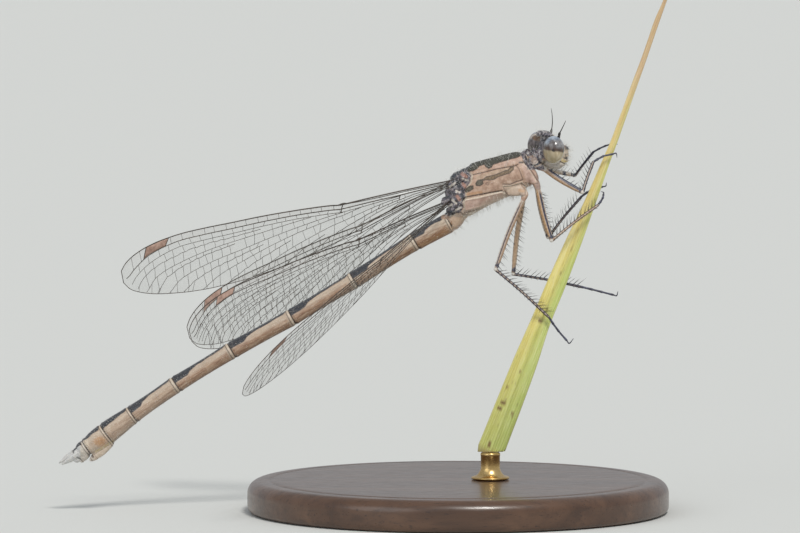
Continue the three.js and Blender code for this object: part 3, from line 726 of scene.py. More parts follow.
def finish_skin(o):
    p, n = verts_of(o), normals_of(o)
    u, v, a, up, rel, in_head, in_tail = zones(p)
    idx, s, h, dist, ln = tail_local(p)
    x0 = s * ln
    x1 = (1 - s) * ln
    thx = ~in_head & ~in_tail & (u < 527) & (v < 232)
    pro = ~in_head & ~in_tail & (u >= 520.5) & (v < 170) & (a > 73.5)
    thx &= ~pro
    y = np.abs(p[:, 1])
    flank = step(0.35, 0.75, y)

    # ---- grooves and ridges, in millimetres along the normal
    g = np.zeros(len(p))
    side = ~in_head & ~in_tail & (v < 232)

    def groove(pts, wide=1.0, deep=0.05, where=thx):
        d = to_line(u, v, pts)
        g[where] -= (deep * np.exp(-((d / wide) ** 2)) * flank)[where]

    hum = [(517.6, 164.6), (512.7, 166.3), (507.1, 167.2), (496, 169.2), (484.9, 172.0), (472.7, 174.8)]
    low = [(465.6, 197.4), (478.2, 195.2), (489.3, 193.2), (501.6, 191.2)]
    low2 = [(502.5, 184.6), (510, 184.8), (516, 182.2), (521.6, 180.6)]
    slope = [(515.4, 165.2), (518.6, 169.0), (520.6, 174.0), (522.6, 180.0)]
    front = [(522.6, 160.6), (526.6, 165.0), (531.6, 172.0), (537.2, 180.4)]
    hind = [(474.4, 163.2), (467.6, 169.6), (470.8, 175.6), (469.6, 182.0), (464.6, 190.6), (464.8, 198.4), (462.2, 202), (463.2, 208), (459.9, 212.6)]
    groove(hum, 0.8, 0.045)
    groove(low, 0.8, 0.06)
    groove(low2, 0.7, 0.045)
    groove(slope, 0.7, 0.04)
    groove(front, 0.8, 0.05, side)
    groove(LOBE + [LOBE[0]], 0.7, 0.045)
    groove(META_PLATE + [META_PLATE[0]], 0.7, 0.04, side)
    groove(hind, 0.9, 0.05)
    g[thx] += (0.03 * np.exp(-(((to_patch(u, v, LOBE) + 1.5) / 0.8) ** 2)) * flank)[thx]
    g[thx] += (0.022 * np.exp(-((to_line(u, v, hind[:-1]) - 1.8) ** 2)) * flank)[thx]
    g[thx] -= (0.02 * np.exp(-((to_line(u, v, [(487, 183.9), (487.3, 184)]) / 0.9) ** 2)) * flank)[thx]
    keel = np.exp(-((y / 0.035) ** 2)) * (n[:, 2] > 0.2) * thx * step(8, 22, a)
    g += 0.05 * keel
    root = step(0.5, -0.3, to_patch(u, v, ROOT)) * thx
    g += root * (0.045 * wave(p, 0.22, 2.0) + 0.02 * wave(p, 0.11, 8.0))
    set_verts(o, p + n * g[:, None])

    # ---- markings: three shares in each of four sets
    z = np.zeros(len(p))
    ragged = 0.5 * wave(p, 0.22, 1.0)
    dors_d = to_patch(u, v, DORSAL) + 0.4 * ragged
    dors = step(0.35, -0.45, dors_d) * thx
    dors_edge = step(1.0, 0.3, np.abs(dors_d + 0.5)) * thx * step(0.1, 0.3, y)
    d2 = to_patch(u, v, BAND2) - 0.15 + 0.5 * ragged
    d3 = to_patch(u, v, SPOT2) - 0.2 + 0.4 * ragged
    band2 = np.maximum(step(0.4, -0.4, d2), step(0.4, -0.4, d3)) * thx * flank
    edge2 = np.maximum(step(0.75, 0.25, np.abs(d2 + 0.2)), step(0.75, 0.25, np.abs(d3 + 0.2))) * thx * flank
    grey2 = band2 * step(486, 481, u)
    spir = to_line(u, v, [(487, 183.9), (487.3, 184)])

    def ink(pts, w, k, where=thx):
        return step(w, w * 0.25, to_line(u, v, pts)) * k * where * flank

    lines = np.maximum.reduce([
        ink(hum, 0.8, 0.9), ink(low, 0.9, 1.0), ink(low2, 0.75, 0.8), ink(slope, 0.65, 0.7), ink(front, 0.85, 0.75, side),
        step(0.55, 0.15, np.abs(spir - 1.35)) * 0.55 * thx * flank, step(0.5, 0.2, spir) * 0.5 * thx * flank,
        ink([(519.2, 162.8), (522.6, 162.6)], 1.5, 1.0, side),
        ink([(463.8, 213.2), (472, 211.2), (481, 208.8), (491, 205.4), (500.6, 201.6)], 0.7, 0.75),
        ink([(460.6, 212.6), (463.6, 215.0), (467.6, 214.6)], 0.8, 0.95, side), ink([(463.6, 215.0), (465.4, 217.6)], 0.7, 0.9, side),
        ink([(465.4, 197.6), (459.4, 200.2)], 0.9, 0.9), ink([(505.9, 193.6), (507.6, 196.4)], 0.7, 0.6, side),
        ink(META_PLATE + [META_PLATE[0]], 0.55, 0.55, side), ink([(537.6, 183.4), (531.4, 184.6), (525, 182.8)], 0.6, 0.7, side),
        ink([(521.2, 183.2), (524.4, 186.0)], 0.9, 0.8, side), edge2 * 0.75, dors_edge * 0.55,
    ])
    keelline = step(0.12, 0.05, y) * thx * (n[:, 2] > 0.0) * step(14, 20, a)
    pale_th = np.maximum.reduce([
        step(1.0, 0.4, np.abs(to_patch(u, v, LOBE) + 0.7)) * 0.95 * thx, step(2.4, 1.0, to_line(u, v, [(503.6, 193.2), (503.8, 198.0)])) * 0.6 * side,
        ink([(q[0] + 1.1, q[1] + 0.2) for q in hind[:-1]], 1.35, 1.0),
        ink([(q[0] - 1.2, q[1] + 0.8) for q in front], 1.0, 0.7, side),
        ink([(503.2, 186.4), (511, 186.0), (520.6, 183.4)], 1.2, 0.85, side), ink([(508, 196.4), (516, 197.2), (523.6, 196.2)], 1.2, 0.8, side),
        step(1.0, -1.5, to_patch(u, v, META_PLATE)) * 0.50 * side * flank,
        ink([(521.4, 182.0), (524.6, 186.8)], 1.0, 0.95, side), ink([(525.2, 188.6), (526.6, 194.8)], 1.2, 0.8, side),
        step(-0.35, -0.8, n[:, 2]) * thx * 0.55, step(5.5, 2.0, to_line(u, v, [(464, 218), (472, 215), (482, 211.4), (496, 206.0)])) * 1.0 * side * step(0.5, 0.0, to_patch(u, v, LOBE) * -1),
    ])
    pink = np.maximum.reduce([step(0.5, -1.8, to_patch(u, v, LOBE)) * 0.75 * flank * thx, step(0.5, -1.5, to_patch(u, v, MESO_PLATE)) * 0.85 * side * flank,
                              step(3.2, 0.8, to_line(u, v, [(520, 158.6), (506, 163.0), (494, 167.4)])) * 0.5 * thx * flank])
    tan2 = step(2.0, 0.4, to_line(u, v, [(466.5, 194.6), (474, 193.4), (481, 192.4)])) * thx * flank * 0.6
    rust = np.maximum(tan2, step(2.5, 0.6, to_line(u, v, [(519.4, 190.6), (522.8, 191.4)])) * 0.6 * side * flank)
    beige = np.maximum(step(3.0, 0.6, to_line(u, v, [(508, 169.6), (494, 172.8), (478, 178.0)])) * 0.6 * thx * flank, step(3.4, 1.0, to_line(u, v, [(508, 189.6), (515, 188.6)])) * 0.35 * side)
    mott = wave(p, 0.24, 4.0)
    root_dark = root * np.maximum.reduce([
        step(3.2, 1.0, to_line(u, v, [(470, 164.6), (457, 173.5), (451.6, 178.6)])), step(2.6, 1.2, to_line(u, v, [(449.5, 179.5), (453.0, 181.0)])),
        step(2.2, 1.0, to_line(u, v, [(457.0, 181.5), (459.0, 186.5)])), step(2.4, 1.0, to_line(u, v, [(444.0, 197.0), (448.5, 197.5)])),
        step(2.4, 1.2, to_line(u, v, [(446.5, 212.5), (453.5, 212.5)])), step(1.8, 0.8, to_line(u, v, [(461.0, 195.0), (464.0, 199.5)])),
    ])
    root_pale = root * np.maximum.reduce([
        step(1.5, 0.6, to_line(u, v, [(449.0, 187.6), (455.6, 182.6)])), step(1.4, 0.6, to_line(u, v, [(446.0, 208.4), (451.6, 204.6)])),
        step(1.3, 0.5, to_line(u, v, [(462.6, 179.0), (467.4, 180.6)])), step(1.5, 0.6, to_line(u, v, [(452.0, 200.5), (456.0, 203.6)])),
        step(1.2, 0.5, to_line(u, v, [(455.8, 190.6), (459.6, 192.6)])), step(1.4, 0.6, to_line(u, v, [(456.0, 210.0), (461.0, 207.6)])),
    ])
    root_rose = root * np.maximum.reduce([step(2.2, 1.0, to_line(u, v, [(462.0, 174.0), (465.6, 176.6)])), step(2.0, 0.9, to_line(u, v, [(462.6, 184.0), (465.0, 187.0)])), step(2.0, 0.9, to_line(u, v, [(457.0, 196.4), (459.5, 199.8)]))])
    root_mott = root

    # tail
    thin = np.clip(np.where(idx <= 6, 0.90, 0.9), 0, 1)
    thr = np.interp(s, [0.0, 0.04, 0.10, 0.55, 0.66, 0.71, 0.77, 1.0], [1.2, 0.95, 0.86, 0.80, 0.68, 0.60, 0.34, 0.26])
    thr8 = np.interp(s, [0.0, 0.03, 0.10, 0.4, 0.6, 0.94, 1.0], [1.3, 1.0, 0.80, 0.72, 0.66, 0.54, 0.5])
    thr9 = np.interp(s, [0.0, 0.06, 0.15, 0.7, 0.9, 1.0], [1.2, 0.85, 0.73, 0.76, 0.86, 0.90])
    thr10 = np.interp(s, [0.0, 0.1, 0.3, 1.0], [0.72, 0.62, 0.70, 0.80])
    thr2 = np.interp(s, [0.0, 0.06, 0.14, 0.5, 0.62, 0.70, 1.0], [0.95, 0.9, 0.70, 0.72, 0.62, 0.34, 0.34])
    thr1 = np.interp(s, [0.0, 0.5, 1.0], [0.2, 0.35, 0.62])
    thr = np.where(idx == 7, thr8, np.where(idx == 8, thr9, np.where(idx == 9, thr10, np.where(idx == 1, thr2, np.where(idx == 0, thr1, thr)))))
    jag = 0.05 * wave(p, 0.3, 3.0)
    td = step(-0.05, 0.05, h + jag - thr) * in_tail * ((idx > 0) | (v < 217)) * ((idx < 9) | (u > 72.5))
    ringlen = np.where(idx >= 7, 0.12, 0.17) + 0 * s
    ringlen = np.where(idx == 1, 0.13, ringlen)
    fade = np.where((idx >= 1) & (idx <= 6), 0.26, 0.10)
    pale_ring = in_tail * np.maximum(step(ringlen, ringlen * 0.75, x0), 0.7 * step(ringlen + fade, ringlen * 0.9, x0 + 0.05 * wave(p, 0.2, 21.0))) * (idx > 0)
    td *= 1 - step(ringlen * 1.1, ringlen * 0.9, x0) * (idx > 0) * (h < 0.93)
    dark_line = in_tail * np.maximum(step(0.085, 0.045, x1) * (idx < 9), step(0.035, 0.01, x0) * (idx > 0)) * np.where(u < 116, step(0.0, -0.3, h * 0 - 0.4) * (v < 461.0 - (u - 88) * 0.62), 1.0)
    pre = in_tail * step(0.045, 0.015, np.abs(x0 - ringlen - 0.02)) * 0.75 * (idx > 0)
    pre = np.maximum(pre, in_tail * step(0.04, 0.015, np.abs(x1 - 0.16)) * 0.30 * (idx < 9))
    pre = np.maximum(pre, in_tail * step(0.24, 0.12, x1) * step(-0.55, -0.80, h) * 0.95 * (idx >= 1) * (idx < 7))
    hw = h + 0.12 * wave(p, 0.5, 12.0)
    low_t = in_tail * np.where(idx <= 2, step(0.15, -0.45, hw), np.exp(-(((hw + 0.30) / 0.34) ** 2)) * 0.85 + 0.2 * (hw < -0.5)) * (idx < 8) * np.where(idx == 7, 0.30, np.where(idx == 6, 0.62, 1.0))
    low_t = np.maximum(low_t, in_tail * (idx == 7) * step(2.6, 0.6, to_line(u, v, [(128.6, 422.6), (122.0, 427.0), (116.5, 431.0)])) * 0.7)
    in_valve = step(0.6, -0.2, to_patch(u, v, [(110.6, 443.4), (104.5, 447.4), (97.0, 452.6), (91.6, 455.8), (87.0, 460.0), (89.0, 465.0), (95.5, 463.2), (103.5, 457.0), (111.5, 450.4), (114.0, 445.0)])) * in_tail
    belly_t = in_tail * step(-0.80, -0.90, h) * step(-0.99, -0.95, h) * (idx < 8)
    streak_t = in_tail * step(0.09, 0.03, np.abs(h + 0.30 + 0.05 * wave(p, 0.4, 13.0))) * (idx < 8) * (0.4 + 0.4 * wave(p, 0.25, 14.0))
    # painted highlight: the tail's upper side under the dark back stripe is made paler, as where light from above falls
    painted_tail_highlight = in_tail * step(-0.05, 0.55, h + 0.1 * wave(p, 0.4, 15.0)) * (1 - td)
    tip = in_tail * np.maximum.reduce([(idx == 9) * 0.9, step(2.5, 0.5, to_line(u, v, [(109, 446.5), (97, 451.5), (90, 455.5)])) * 0.8, step(1.5, 0.0, v - 455.5 - (u - 90) * 0.1) * 0])
    valve = in_tail * (dist > 0.5) * (u < 116) * (h < 0) * step(446, 450, v + (u - 108) * 0.55)
    tip = np.maximum(tip, in_tail * (u < 88) * 1.0)
    spot9 = in_tail * step(1.25, 0.35, np.hypot((u - 100.5) / 8.0, (v - 441.6) / 6.0) + 0.12 * wave(p, 0.3, 16.0))
    lines_end = in_tail * np.maximum.reduce([
        step(0.6, 0.2, to_line(u, v, [(87.6, 453.0), (89.6, 456.6)])) * 0.6,
        step(0.8, 0.25, to_line(u, v, [(76.6, 457.4), (80.5, 459.6), (83.6, 463.4)])) * 0.95,
        step(0.7, 0.2, to_line(u, v, [(70.4, 449.4), (73.2, 453.4)])) * 0.9,
        step(0.6, 0.2, to_line(u, v, [(111, 443.6), (103, 448.8), (91.4, 456.2)])) * 0.55,
    ])
    orange = in_tail * (spot9 * 0.9 + ((idx == 0) * step(0.3, -0.3, h) * step(1.0, 0.5, np.abs(v - 221) / 6) * 0.8) + ((idx == 1) * step(0.1, -0.4, h) * 0.35))

    s1 = step(1.0, -0.6, to_patch(u, v, [(450.0, 218.0), (457.6, 214.8), (463.6, 216.2), (464.8, 219.0), (456.4, 226.4), (451.4, 229.4)])) * side * (1 - root)
    s1_pale = step(1.4, 0.5, to_line(u, v, [(449.6, 217.0), (457.6, 213.6)])) * side

    # prothorax: dark, with pale rims and a round side plate
    plate_r = np.hypot(u - 533.6, v - 160.2)
    pro_plate = pro * flank * step(3.8, 2.8, plate_r)
    pro_rim = pro * step(0.75, 0.3, np.abs(plate_r - 4.2)) * flank * step(-3.0, 2.0, (v - 160.2) + (u - 533.6) * 0.4)
    pro_ring = pro * step(0.9, 0.4, np.abs(plate_r - 5.3)) * flank
    pro_bar = pro * flank * step(1.5, 0.7, to_line(u, v, [(528.4, 157.6), (533.4, 155.6)]))
    ppal = pro * np.maximum.reduce([
        step(1.0, 0.4, to_line(u, v, [(525.0, 153.6), (527.6, 158.6), (528.8, 164.0)])) * flank, step(0.9, 0.3, to_line(u, v, [(538.6, 151.4), (539.4, 157.4), (541.6, 163)])) * flank,
        step(1.6, 0.6, to_line(u, v, [(531, 166.2), (537, 166.4), (542, 164)])) * 0.8 * flank,
    ])
    # head
    f, l, w = rel.T
    al = np.abs(l)
    vertex = in_head * np.maximum(step(0.20, 0.34, w) * step(1.02, 0.80, f), step(0.05, -0.1, f) * step(-0.75, -0.55, w))
    frons_dark = in_head * np.maximum.reduce([
        step(0.16, 0.09, np.hypot((al - 0.26) / 1.5, w - 0.03)) * (f > 0.8),
        step(0.10, 0.05, np.abs(w + 0.0)) * step(0.60, 0.45, al) * (f > 0.8) * 0.75,
        step(0.10, 0.05, np.hypot((al - 0.30) / 1.6, w + 0.60)) * (f > 0.9),
        step(0.05, 0.02, np.abs(w + 0.585)) * step(0.5, 0.4, al) * (f > 0.9) * 0.6,
        step(0.05, 0.02, np.abs(w + 0.36)) * step(0.56, 0.42, al) * (f > 0.9) * 0.45,
    ])
    far_d = np.hypot((u - 536.8) / 4.3, (v - 139.6) / 2.5)
    far_side = in_head * (p[:, 1] > 0.1) * (f < 0.35)
    far_patch, far_ring = far_side * step(1.12, 0.85, far_d), far_side * step(0.36, 0.14, np.abs(far_d - 1.34)) * step(134.6, 135.6, v) * step(143.4, 141.4, v)
    face_line = in_head * step(0.75, 0.25, to_line(u, v, [(565.4, 154.8), (565.9, 157.4), (566.6, 160.2)])) * (f > 0.7) * 0.8
    gape = w + 0.82 + 0.40 * (f - 0.78)  # height above the line of the mouth
    mandible = in_head * step(0.055, 0.025, np.abs(gape)) * (f > 0.62)
    labrum = in_head * step(0.02, 0.05, gape) * step(0.25, 0.18, gape) * step(0.80, 0.90, f)
    labium = in_head * np.maximum(step(-0.03, -0.08, gape) * step(-0.72, -0.80, w), step(-0.80, -0.92, w))
    frons = in_head * step(0.10, 0.20, w) * step(0.60, 0.85, f) * 0.6
    cream = in_head * np.maximum(step(0.1, 0.3, f) * step(-0.12, -0.26, w), step(0.55, 0.75, f) * step(0.10, 0.0, w)) * (1 - labrum)
    ocelli = in_head * np.maximum.reduce([step(0.115, 0.08, np.linalg.norm(rel - np.array(c), axis=1)) for c in ((0.08, 0.30, 0.91), (0.08, -0.30, 0.91), (0.40, 0, 0.80))])
    rim_v = in_head * step(0.06, 0.02, np.abs(al - 0.62 + 0.12 * (f - 0.3))) * step(0.3, 0.45, w) * 0.6

    pale_ring = pale_ring * np.where((u < 116) & (in_valve > 0.5), 0.0, 1.0)
    low_t = low_t * (1 - in_valve)
    cool = np.maximum.reduce([in_tail * step(82.0, 79.0, u) * 1.0, labium * 0.5, root_pale * 0.5, in_tail * (idx == 9) * 0.4])
    along = idx * 4.0 + s * ln
    hr = h * np.minimum(dist, 1.5)
    paint(o, "flow", along * 0.15 / 40, (p[:, 1] + 2) / 40, (hr + 2) / 40)
    fleck = in_tail * (1 - in_valve) * np.where((idx >= 1) & (idx <= 2), 1.0, np.where(idx < 8, 0.62, 0.3))
    paint(o, "marks_e", cool, fleck, root_rose)
    dark = np.maximum.reduce([td, frons_dark, 0.9 * pro_ring, root_dark * 0.92])
    line = np.maximum.reduce([lines, dark_line, pre, mandible, face_line, belly_t * 0.45, lines_end, streak_t * 0.5])
    paint(o, "marks_a", dark, line, np.maximum(band2, far_patch * 0.95))
    # the pale share includes the painted highlight on the tail's upper side
    pale = np.maximum.reduce([pale_th, pale_ring * 0.95, root_pale, s1_pale * 0.9, s1 * 0.72, painted_tail_highlight * 0.55, in_valve * 0.8, in_tail * (idx == 8) * 0.62, in_tail * (idx == 7) * 0.30, in_tail * (idx == 6) * 0.16, tip * 0.95, 0.9 * pro_rim, 0.8 * ppal, labium * 0.95, ocelli, cream * 0.9, rim_v, far_ring * 0.9, valve * 0.55])
    rust = np.maximum(rust, pro_bar * 0.7)
    paint(o, "marks_b", pale, low_t, np.maximum.reduce([orange, keelline * 0.9, rust, s1 * 0.34]))
    hips = side & (u >= 527) & ~pro
    green = in_tail * step(1.6, 0.7, to_line(u, v, [(113.0, 441.0), (104.5, 446.6), (95.5, 451.8)])) * 0.5
    # the beige share also carries the painted highlight on the tail's upper side
    paint(o, "marks_c", np.maximum(pink, hips * 0.35), np.maximum(labrum, green), np.maximum.reduce([beige, painted_tail_highlight * 0.4, pro_plate * 0.8]))
    mottle = np.maximum.reduce([root_mott * 0.95, pro * (1 - 0.55 * pro_plate) * (1 - pro_bar) * 0.95, vertex * 0.97 * (1 - far_patch) * (1 - far_ring), frons * 0.6, hips * (u > 536) * 0.35])
    paint(o, "marks_d", mottle * (1 - pale * (pale > 0.6)) * (1 - root_rose), dors, grey2)


def skin_material():
    m = Mat("insect_skin", Roughness=0.42)
    dark, line, band2 = m.attr("marks_a")
    pale, low, orange = m.attr("marks_b")
    pink, labrum, beige = m.attr("marks_c")
    mottle, dors, grey2 = m.attr("marks_d")
    fine = m.noise(0.09, 4, 0.62)
    mid = m.noise(0.30, 4, 0.6)
    big = m.noise(1.2, 2, 0.5)
    cool, fleck, rose = m.attr("marks_e")
    flow = m.node("ShaderNodeAttribute", attribute_name="flow").outputs["Color"]
    streaks = m.noise(3.2, 4, 0.62, flow)
    base = m.ramp(mid, [(0.32, (0.305, 0.190, 0.133)), (0.5, (0.440, 0.300, 0.220)), (0.68, (0.575, 0.430, 0.335))])
    c = m.mix(m.span(big, 0.38, 0.66, 0.0, 0.45), base, (0.43, 0.265, 0.190))
    c = m.mix(m.math("MULTIPLY", beige, 0.9), c, m.ramp(mid, [(0.32, (0.29, 0.205, 0.135)), (0.68, (0.44, 0.335, 0.23))]))
    c = m.mix(m.math("MULTIPLY", fleck, 0.85), c, m.ramp(streaks, [(0.34, (0.20, 0.115, 0.070)), (0.45, (0.335, 0.22, 0.152)), (0.56, (0.45, 0.34, 0.25)), (0.68, (0.60, 0.50, 0.385))]))
    c = m.mix(m.math("MULTIPLY", low, 0.78), c, m.ramp(streaks, [(0.36, (0.20, 0.105, 0.058)), (0.5, (0.33, 0.195, 0.115)), (0.64, (0.47, 0.33, 0.22))]))
    c = m.mix(m.math("MULTIPLY", pink, 0.8), c, m.ramp(mid, [(0.32, (0.44, 0.285, 0.235)), (0.68, (0.66, 0.49, 0.42))]))
    c = m.mix(m.math("MULTIPLY", pale, 0.9), c, m.ramp(fine, [(0.3, (0.46, 0.38, 0.29)), (0.7, (0.68, 0.60, 0.49))]))
    c = m.mix(m.math("MULTIPLY", orange, 0.8), c, m.ramp(mid, [(0.3, (0.34, 0.15, 0.05)), (0.7, (0.56, 0.29, 0.11))]))
    c = m.mix(m.math("MULTIPLY", labrum, 0.9), c, m.ramp(mid, [(0.35, (0.55, 0.41, 0.15)), (0.65, (0.68, 0.57, 0.29))]))
    # plates mottled in black, slate blue, rose and cream
    patch = m.noise(0.19, 3, 0.64, None, 0.5)
    mot = m.ramp(patch, [(0.39, (0.008, 0.009, 0.014)), (0.46, (0.028, 0.031, 0.046)), (0.50, (0.125, 0.150, 0.205)), (0.535, (0.235, 0.165, 0.155)), (0.57, (0.062, 0.066, 0.092)), (0.635, (0.49, 0.47, 0.46))])
    c = m.mix(mottle, c, mot)
    c = m.mix(m.math("MULTIPLY", rose, 0.85), c, m.ramp(fine, [(0.3, (0.26, 0.12, 0.10)), (0.7, (0.44, 0.26, 0.22))]))
    c = m.mix(m.math("MULTIPLY", cool, 0.85), c, m.ramp(fine, [(0.3, (0.36, 0.37, 0.38)), (0.7, (0.66, 0.67, 0.66))]))
    c = m.mix(m.math("MULTIPLY", band2, 0.92), c, m.ramp(fine, [(0.3, (0.070, 0.045, 0.022)), (0.5, (0.13, 0.085, 0.042)), (0.7, (0.26, 0.18, 0.10))]))
    c = m.mix(m.math("MULTIPLY", grey2, 0.85), c, m.ramp(fine, [(0.3, (0.045, 0.040, 0.030)), (0.7, (0.11, 0.10, 0.075))]))
    c = m.mix(m.math("MULTIPLY", dors, 0.97), c, m.ramp(fine, [(0.3, (0.018, 0.022, 0.017)), (0.55, (0.038, 0.044, 0.034)), (0.75, (0.070, 0.078, 0.064))]))
    c = m.mix(m.math("MULTIPLY", dark, 0.97), c, m.ramp(fine, [(0.3, (0.010, 0.014, 0.021)), (0.55, (0.022, 0.030, 0.042)), (0.8, (0.048, 0.060, 0.076))]))
    c = m.mix(m.math("MULTIPLY", line, 0.92), c, (0.030, 0.018, 0.013))
    # tiny dark and pale speckle of the cuticle
    sp = m.noise(0.05, 3, 0.7)
    c = m.mix(m.span(sp, 0.58, 0.72, 0.0, 0.42), c, (0.11, 0.065, 0.045))
    c = m.mix(m.span(sp, 0.42, 0.30, 0.0, 0.42), c, (0.74, 0.62, 0.51))
    rough = m.span(dark, 0.0, 1.0, 0.44, 0.28)
    nrm = m.bump(m.noise(0.06, 3, 0.6), 0.014, 0.7)
    nrm = m.bump(m.noise(0.22, 3, 0.55), 0.035, 0.45, nrm)
    m.b.inputs["Subsurface Weight"].default_value = 0.04
    m.b.inputs["Subsurface Radius"].default_value = (0.0004, 0.0002, 0.0001)
    m.b.inputs["Specular IOR Level"].default_value = 0.5
    return m.out(c, rough, nrm)


skin = build_skin()
finish_skin(skin)
skin.data.materials.append(skin_material())
SKIN_NODES = ["head", "neck", "prothorax", "synthorax", "ovipositor", "cercus_right", "cercus_left"] + ["abdomen_%02d" % i for i in range(1, 11)] + ["coxa_" + k for k in LEGS]
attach(skin, "root")
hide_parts(*SKIN_NODES)


# ------------------------------------------------------------------ eyes: two-tone beads with fine facets
def eye_object(name, sgn):
    b = Build()
    b.egg(head(-0.03, sgn * EYE_OUT, 0), HB, EYE_R, 128, 96)
    o = b.object(name)
    p = verts_of(o)
    r = (p - head(-0.03, sgn * EYE_OUT, 0)) @ HB.T / np.array(EYE_R)
    f, l, w = r.T
    l = l * sgn
    lim = 0.075 - 0.076 * f + 0.07 * f * f + 0.010 * np.sin(f * 9 + 1)
    top = step(-0.04, 0.03, w - lim)
    band = np.exp(-(((w - lim + 0.03) / 0.105) ** 2)) * 1.0 + (0.55 + 0.3 * np.abs(f)) * np.exp(-((np.minimum(w - lim + 0.05, 0) / 0.16) ** 2)) * (w < lim) * step(0.25, 0.8, np.abs(f + 0.1)) + 0.4 * np.exp(-(((w - lim - 0.08) / 0.10) ** 2))
    spot = step(0.15, 0.07, np.hypot((f + 0.44) * 0.8, (w - lim + 0.08) * 1.1)) * step(0.2, 0.5, l)
    spot = np.maximum(spot, 0.5 * step(0.12, 0.05, np.hypot(f - 0.35, w - lim + 0.30)) * step(0.2, 0.5, l) * 0.4)
    # painted reflection of the sky: the top and the edges of the upper cap take a pale blue
    painted_sky_reflection = np.maximum(step(0.66, 0.92, w), step(0.62, 0.25, l) * step(0.12, 0.40, w - lim) * 0.9)
    # painted shade: the rim mask darkens the inner lower side of each eye
    rim = step(0.10, -0.30, l) * step(-0.75, -0.45, w)
    paint(o, "eye_a", top, np.clip(band, 0, 1), spot)
    # the far eye shows its inner side: a brown patch inside a pale ring
    u, v = side_uv(p)
    d = np.hypot((u - 536.8) / 4.3, (v - 139.6) / 2.5)
    inner = (p[:, 1] > 0) * step(1.12, 0.85, d) * step(0.5, 0.0, l)
    ring = (p[:, 1] > 0) * step(0.36, 0.14, np.abs(d - 1.34)) * step(0.5, 0.0, l) * step(142.4, 139.4, v)
    # painted shade on the far eye: its top and its lower part are darkened through the rim mask
    painted_roof_shade = (p[:, 1] > 0) * step(135.5, 134.2, v)
    ring = ring * (1 - painted_roof_shade)
    rim = np.maximum(rim, painted_roof_shade * step(0.5, 0.1, l))
    rim = np.maximum(rim, (p[:, 1] > 0) * step(142.8, 146.6, v) * step(0.5, 0.1, l) * 0.95)
    paint(o, "eye_b", painted_sky_reflection, rim, step(-0.55, -0.95, w))
    # painted highlight: a pale band on the upper cap just above its lower edge
    painted_cap_highlight = np.exp(-(((f - 0.22) / 0.30) ** 2)) * step(0.10, 0.28, w - lim) * step(0.75, 0.35, w)
    paint(o, "eye_c", inner, ring, painted_cap_highlight)
    paint(o, "eye_d", step(0.1, -0.85, f), step(-0.2, -0.8, w), step(0.2, 0.9, f))
    return o


def eye_material():
    m = Mat("compound_eye", Roughness=0.14)
    top, band, spot = m.attr("eye_a")
    painted_sky_reflection, rim, under = m.attr("eye_b")
    inner_patch, inner_ring, painted_cap_highlight = m.attr("eye_c")
    streak = m.noise(0.15, 3, 0.55, m.mapped((1, 1, 0.22)))
    lower = m.ramp(streak, [(0.36, (0.405, 0.315, 0.185)), (0.5, (0.485, 0.392, 0.248)), (0.64, (0.60, 0.505, 0.345))])
    cloud = m.noise(0.30, 3, 0.55)
    upper = m.ramp(cloud, [(0.38, (0.100, 0.085, 0.084)), (0.5, (0.180, 0.170, 0.172)), (0.62, (0.30, 0.30, 0.305))])
    # painted highlight: the pale band paints a lighter grey on the upper cap
    upper = m.mix(m.math("MULTIPLY", painted_cap_highlight, 0.35), upper, m.ramp(cloud, [(0.3, (0.27, 0.285, 0.315)), (0.7, (0.42, 0.445, 0.475))]))
    # painted reflection of the sky: pale blue on the top and the edges of the upper cap
    upper = m.mix(m.math("MULTIPLY", painted_sky_reflection, 0.75), upper, m.ramp(cloud, [(0.35, (0.18, 0.235, 0.315)), (0.65, (0.42, 0.50, 0.60))]))
    back, low, front = m.attr("eye_d")
    lower = m.mix(m.math("MULTIPLY", back, 0.55), lower, (0.235, 0.185, 0.105))
    lower = m.mix(m.math("MULTIPLY", low, 0.35), lower, (0.46, 0.425, 0.295))
    lower = m.mix(m.math("MULTIPLY", front, 0.35), lower, (0.55, 0.50, 0.33))
    c = m.mix(top, lower, upper)
    c = m.mix(m.math("MULTIPLY", band, 0.96), c, m.ramp(streak, [(0.3, (0.022, 0.011, 0.008)), (0.7, (0.075, 0.038, 0.022))]))
    c = m.mix(m.math("MULTIPLY", under, 0.35), c, (0.33, 0.29, 0.19))
    c = m.mix(m.math("MULTIPLY", spot, 0.97), c, (0.012, 0.007, 0.006))
    inner = m.noise(0.26, 2, 0.5)
    # painted shade from the rim mask: near black on the inner lower side of each eye and on the far eye's top and lower
    # part
    c = m.mix(m.math("MULTIPLY", rim, 0.9), c, m.ramp(inner, [(0.32, (0.020, 0.018, 0.022)), (0.46, (0.070, 0.056, 0.056)), (0.60, (0.17, 0.145, 0.145))]))
    c = m.mix(m.math("MULTIPLY", inner_ring, 0.9), c, m.ramp(inner, [(0.35, (0.26, 0.225, 0.20)), (0.6, (0.48, 0.42, 0.36))]))
    c = m.mix(m.math("MULTIPLY", inner_patch, 0.95), c, m.ramp(inner, [(0.35, (0.075, 0.038, 0.022)), (0.6, (0.21, 0.125, 0.072))]))
    v = m.node("ShaderNodeTexVoronoi")
    v.inputs["Scale"].default_value = 1 / (0.030 * MM)
    m.link(m.coords(), v.inputs["Vector"])
    n = m.bump(v.outputs["Distance"], 0.005, 0.4)
    dull = m.math("MAXIMUM", rim, m.math("MAXIMUM", inner_patch, inner_ring))
    m.link(m.span(dull, 0.0, 0.8, 0.6, 0.05), m.b.inputs["Coat Weight"])
    m.b.inputs["Coat Roughness"].default_value = 0.07
    m.b.inputs["Specular IOR Level"].default_value = 0.5
    return m.out(c, m.span(dull, 0.0, 0.8, 0.14, 0.5), n)


